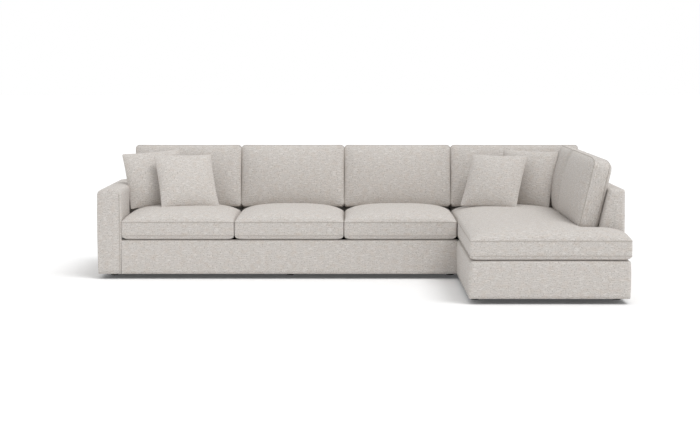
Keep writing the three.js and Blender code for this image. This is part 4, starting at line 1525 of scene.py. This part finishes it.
@dataclass
class Decks:
    """The padded decks under the seat cushions and the black cloths under the frame."""

    thickness: float = 0.027
    crown: float = 0.003
    edge_reach: float = 0.080
    spacing: float = 0.030
    sag: float = 0.003
    fill: float = 0.9
    dust_thickness: float = 0.8 * MILLIMETRE

    def build(self, deck_cloth: Finish, dust: Finish) -> None:
        """Makes both decks and both dust cloths.

        Args:
            deck_cloth: The cloth over the decks.
            dust: The cloth under the frame.
        """
        low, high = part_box("sofa_deck")
        self._deck("sofa_deck", box_outline(high[0] - low[0], high[1] - low[1]), deck_cloth)
        low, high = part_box("chaise_deck")
        _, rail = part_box("return_rail")
        outline = notched_outline(
            high[0] - low[0], high[1] - low[1], rail[0] - low[0], RETURN_FRONT - SIDE_GAP - low[1],
        )
        self._deck("chaise_deck", outline, deck_cloth)
        for unit in ("sofa", "chaise"):
            self._dust_cloth(unit, dust)

    def _deck(self, node: str, outline: Outline, finish: Finish) -> None:
        """One deck: foam under a plain cloth, level but for its soft edges.

        Args:
            node: The node that it stands for.
            outline: The pad's outline.
            finish: The cloth.
        """
        reach = self.edge_reach
        pad = Pad(
            outline, self.thickness - self.crown, self.crown, spacing=self.spacing, rows=2,
            reach=reach, far_side_reach=reach, notch_reach=reach, draw_in=0.0, boxing_swell=0.0,
        )
        surface, _, _ = pad.surface()
        surface.points = surface.points + np.array(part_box(node)[0])
        made = surface.piece(f"{node}_padding", finish)
        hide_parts(node)
        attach(made, BODY)

    def _dust_cloth(self, unit: str, finish: Finish) -> None:
        """A thin cloth stapled round its edge, which hangs a little in its middle: the sag is the
        root of the product of two half waves.

        Args:
            unit: The unit under which it hangs.
            finish: The cloth.
        """
        node = f"{unit}_dust_cloth"
        columns, rows = 60, 50
        low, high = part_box(node)
        xs, ys = np.linspace(low[0], high[0], columns), np.linspace(low[1], high[1], rows)
        x, y = np.meshgrid(xs, ys, indexing="ij")
        s, t = (x - low[0]) / (high[0] - low[0]), (y - low[1]) / (high[1] - low[1])
        z = high[2] - REST_GAP - self.sag * (np.sin(np.pi * s) * np.sin(np.pi * t)) ** 0.5
        made = Surface.lattice(grid(x, y, z), grid(x, y)).piece(f"{node}_sheet", finish)
        wall = made.modifiers.new("thickness", "SOLIDIFY")
        wall.thickness = self.dust_thickness
        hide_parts(node)
        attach(made, BODY)


@dataclass
class Foot:
    """A short turned foot: a tapered disc with eased edges, and its stud."""

    node: str
    height: float = 0.0337
    taper: float = 0.006
    ease: float = 0.002
    ease_share: float = 0.3
    stud_radius: float = 0.004
    edge_angle: float = 50.0
    sides: int = 40

    def build(self, finish: Finish) -> None:
        """Turns the foot's profile about its upright axis.

        Args:
            finish: The paint.
        """
        low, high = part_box(self.node)
        centre_x, centre_y = (low[0] + high[0]) / 2, (low[1] + high[1]) / 2
        top, height, ease = (high[0] - low[0]) / 2, self.height, self.ease
        bottom = top - self.taper
        slope = self.taper / height
        eased = ease * self.ease_share
        radii, up = np.array([
            [0, 0], [bottom - ease, 0], [bottom - eased, eased], [bottom + slope * ease, ease],
            [top - slope * ease, height - ease], [top - eased, height - eased], [top - ease, height],
            [self.stud_radius, height], [self.stud_radius, high[2]], [0, high[2]],
        ]).T
        turn = np.linspace(0, 2 * np.pi, self.sides + 1)[:, None]
        points = grid(centre_x + radii * np.cos(turn), centre_y + radii * np.sin(turn), up)
        surface = Surface.lattice(points, grid(turn * top, up), flip=True).joined()
        made = surface.piece(f"{self.node}_turned", finish)
        turn_outwards(made)
        edges = made.modifiers.new("edges", "EDGE_SPLIT")
        edges.split_angle = math.radians(self.edge_angle)
        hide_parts(self.node)
        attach(made, BODY)


def dress_frame() -> None:
    """Gives the frame's own nodes their timber and steel."""
    along_x = SawnTimber("sawn hardwood, grain along X", Run.ALONG_X).build()
    along_y = SawnTimber("sawn hardwood, grain along Y", Run.ALONG_Y).build()
    wire = Steel("drawn spring wire", "#6E7073", 0.4).build()
    plate = Steel("zinc-plated sheet steel", "#B9BBBD", 0.35).build()
    lengthwise = ("left_rail", "right_rail", "arm_frame", "return", "open_end", "sofa_cross")
    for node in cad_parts:
        if any(word in node for word in ("rail", "frame", "board")):
            give(node, along_y if any(word in node for word in lengthwise) else along_x)
        elif "springs" in node:
            give(node, wire)
        elif "tie_plate" in node:
            give(node, plate)


def give(node: str, finish: Finish) -> None:
    """Puts a finish in all of a CAD node's material slots."""
    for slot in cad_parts[node].material_slots:
        slot.material = finish


# Studio


@dataclass
class Studio:
    """Camera, floor, lamps and world."""

    camera_place: tuple[float, float, float] = (0.0103, -10.3744, 1.4714)
    pitch: float = 0.1021
    turn: float = 0.0009
    lens: float = 79.07
    sensor: float = 36.0
    sky: float = 0.70
    key_strength: float = 1.28
    key_width: float = 28.0
    key_tilt: float = 30.0
    key_turn: float = -38.0
    floor_glow: float = 0.07
    floor_half: float = 60.0

    def build(self) -> None:
        """Makes the camera, the floor and the light."""
        camera = bpy.data.cameras.new("camera")
        camera.lens, camera.sensor_width = self.lens, self.sensor
        camera.clip_end = 200
        holder = linked("camera", camera)
        holder.location = self.camera_place
        holder.rotation_euler = (math.pi / 2 - self.pitch, 0, self.turn)
        bpy.context.scene.camera = holder
        self._floor()
        self._world()
        self._key()
        bpy.context.scene.view_settings.view_transform = "Standard"

    def _key(self) -> None:
        """A very wide, weak lamp high on the right, so that shadows fall softly to the left."""
        light = bpy.data.lights.new("key", "SUN")
        light.energy, light.angle = self.key_strength, math.radians(self.key_width)
        lamp = linked("key", light)
        lamp.rotation_euler = (0, math.radians(self.key_tilt), math.radians(self.key_turn))

    def _floor(self) -> None:
        """A wide plain floor, white to the camera and pale to the light."""
        paint = Shading("white painted studio floor")
        tree = paint.tree
        looks = {"Base Color": linear("#FAFAFA"), "Roughness": 0.9, "Specular IOR Level": 0.0}
        set_inputs(paint.shader, looks)
        glow = worked_out(tree, "MULTIPLY", seen_by(tree, "Is Camera Ray", "Is Glossy Ray"), self.floor_glow)
        emission = add_node(tree, "ShaderNodeEmission", {"Strength": glow}, {"Color": (1, 1, 1, 1)})
        both = add_node(tree, "ShaderNodeAddShader", {0: paint.shader.outputs[0], 1: emission.outputs[0]})
        tree.links.new(both.outputs[0], tree.nodes["Material Output"].inputs["Surface"])
        half = self.floor_half
        mesh = bpy.data.meshes.new("floor")
        corners = [(-half, -half, 0), (half, -half, 0), (half, half, 0), (-half, half, 0)]
        mesh.from_pydata(corners, [], [(0, 1, 2, 3)])
        mesh.materials.append(paint.material)
        linked("floor", mesh)

    def _world(self) -> None:
        """White to the camera, and a plain soft light from all sides."""
        world = bpy.data.worlds.new("studio")
        world.use_nodes = True
        bpy.context.scene.world = world
        tree = world.node_tree
        seen = seen_by(tree, "Is Camera Ray", "Is Glossy Ray", "Is Transmission Ray")
        back = tree.nodes["Background"]
        back.inputs["Color"].default_value = (1, 1, 1, 1)
        strength = carried(tree, seen, {"To Min": self.sky, "To Max": 1.0})
        tree.links.new(strength, back.inputs["Strength"])


def seen_by(tree: Tree, first: str, *others: str) -> Socket:
    """1 for the named kinds of ray and 0 for all others.

    Args:
        tree: The node tree.
        first: A kind of ray.
        *others: More kinds.

    Returns:
        The output that says so.
    """
    path = add_node(tree, "ShaderNodeLightPath")
    seen = path.outputs[first]
    for other in others:
        seen = worked_out(tree, "MAXIMUM", seen, path.outputs[other])
    return seen


def main() -> None:
    """Builds the sofa's pieces in order."""
    logging.basicConfig(level=logging.INFO, format="%(name)s: %(message)s")
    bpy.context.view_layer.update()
    cover_cloth = SlubCloth("slub-woven upholstery cloth").build()
    cushion_cloth = SlubCloth("slub-woven cushion cloth").build()
    pillow_cloth = SlubCloth("slub-woven pillow cloth").build()
    # The seams' cloth is darker than the cloth around it: painted shade for the fold along each seam, laid
    # on real seam tubes.
    seam_shade_cloth = PlainCloth("seam cloth, darkened as painted shade", "#BDB7B0", "#A8A199").build()
    deck_cloth = PlainCloth("plain woven decking cloth", "#A49D94", "#8B847B").build()
    dust_cloth = PlainCloth("black spun-bonded dust cloth", "#1C1C1D", "#0E0E0F").build()
    foot_paint = PaintedFoot().build()
    Studio().build()
    dress_frame()
    for node in sorted(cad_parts):
        if "foot" in node:
            Foot(node).build(foot_paint)
    Covers().build(cover_cloth, seam_shade_cloth)
    Decks().build(deck_cloth, dust_cloth)
    SeatCushions().build(cushion_cloth, seam_shade_cloth)
    BackCushions().build(cushion_cloth, seam_shade_cloth)
    for pillow in (
        Pillow("left_pillow_rear", 16, 25, 4.5, pressed=(-0.018, 0.0, -0.003)),
        Pillow("left_pillow_front", 22, 32, -1, pressed=(0.0, 0.006, -0.008)),
        Pillow("right_pillow_front", -26, 33, 0, pressed=(0.0, 0.006, -0.008)),
        Pillow("right_pillow_rear", -28, 22, -1, pressed=(0.010, 0.0, -0.006)),
    ):
        pillow.build(pillow_cloth)


if __name__ == "__main__":
    main()
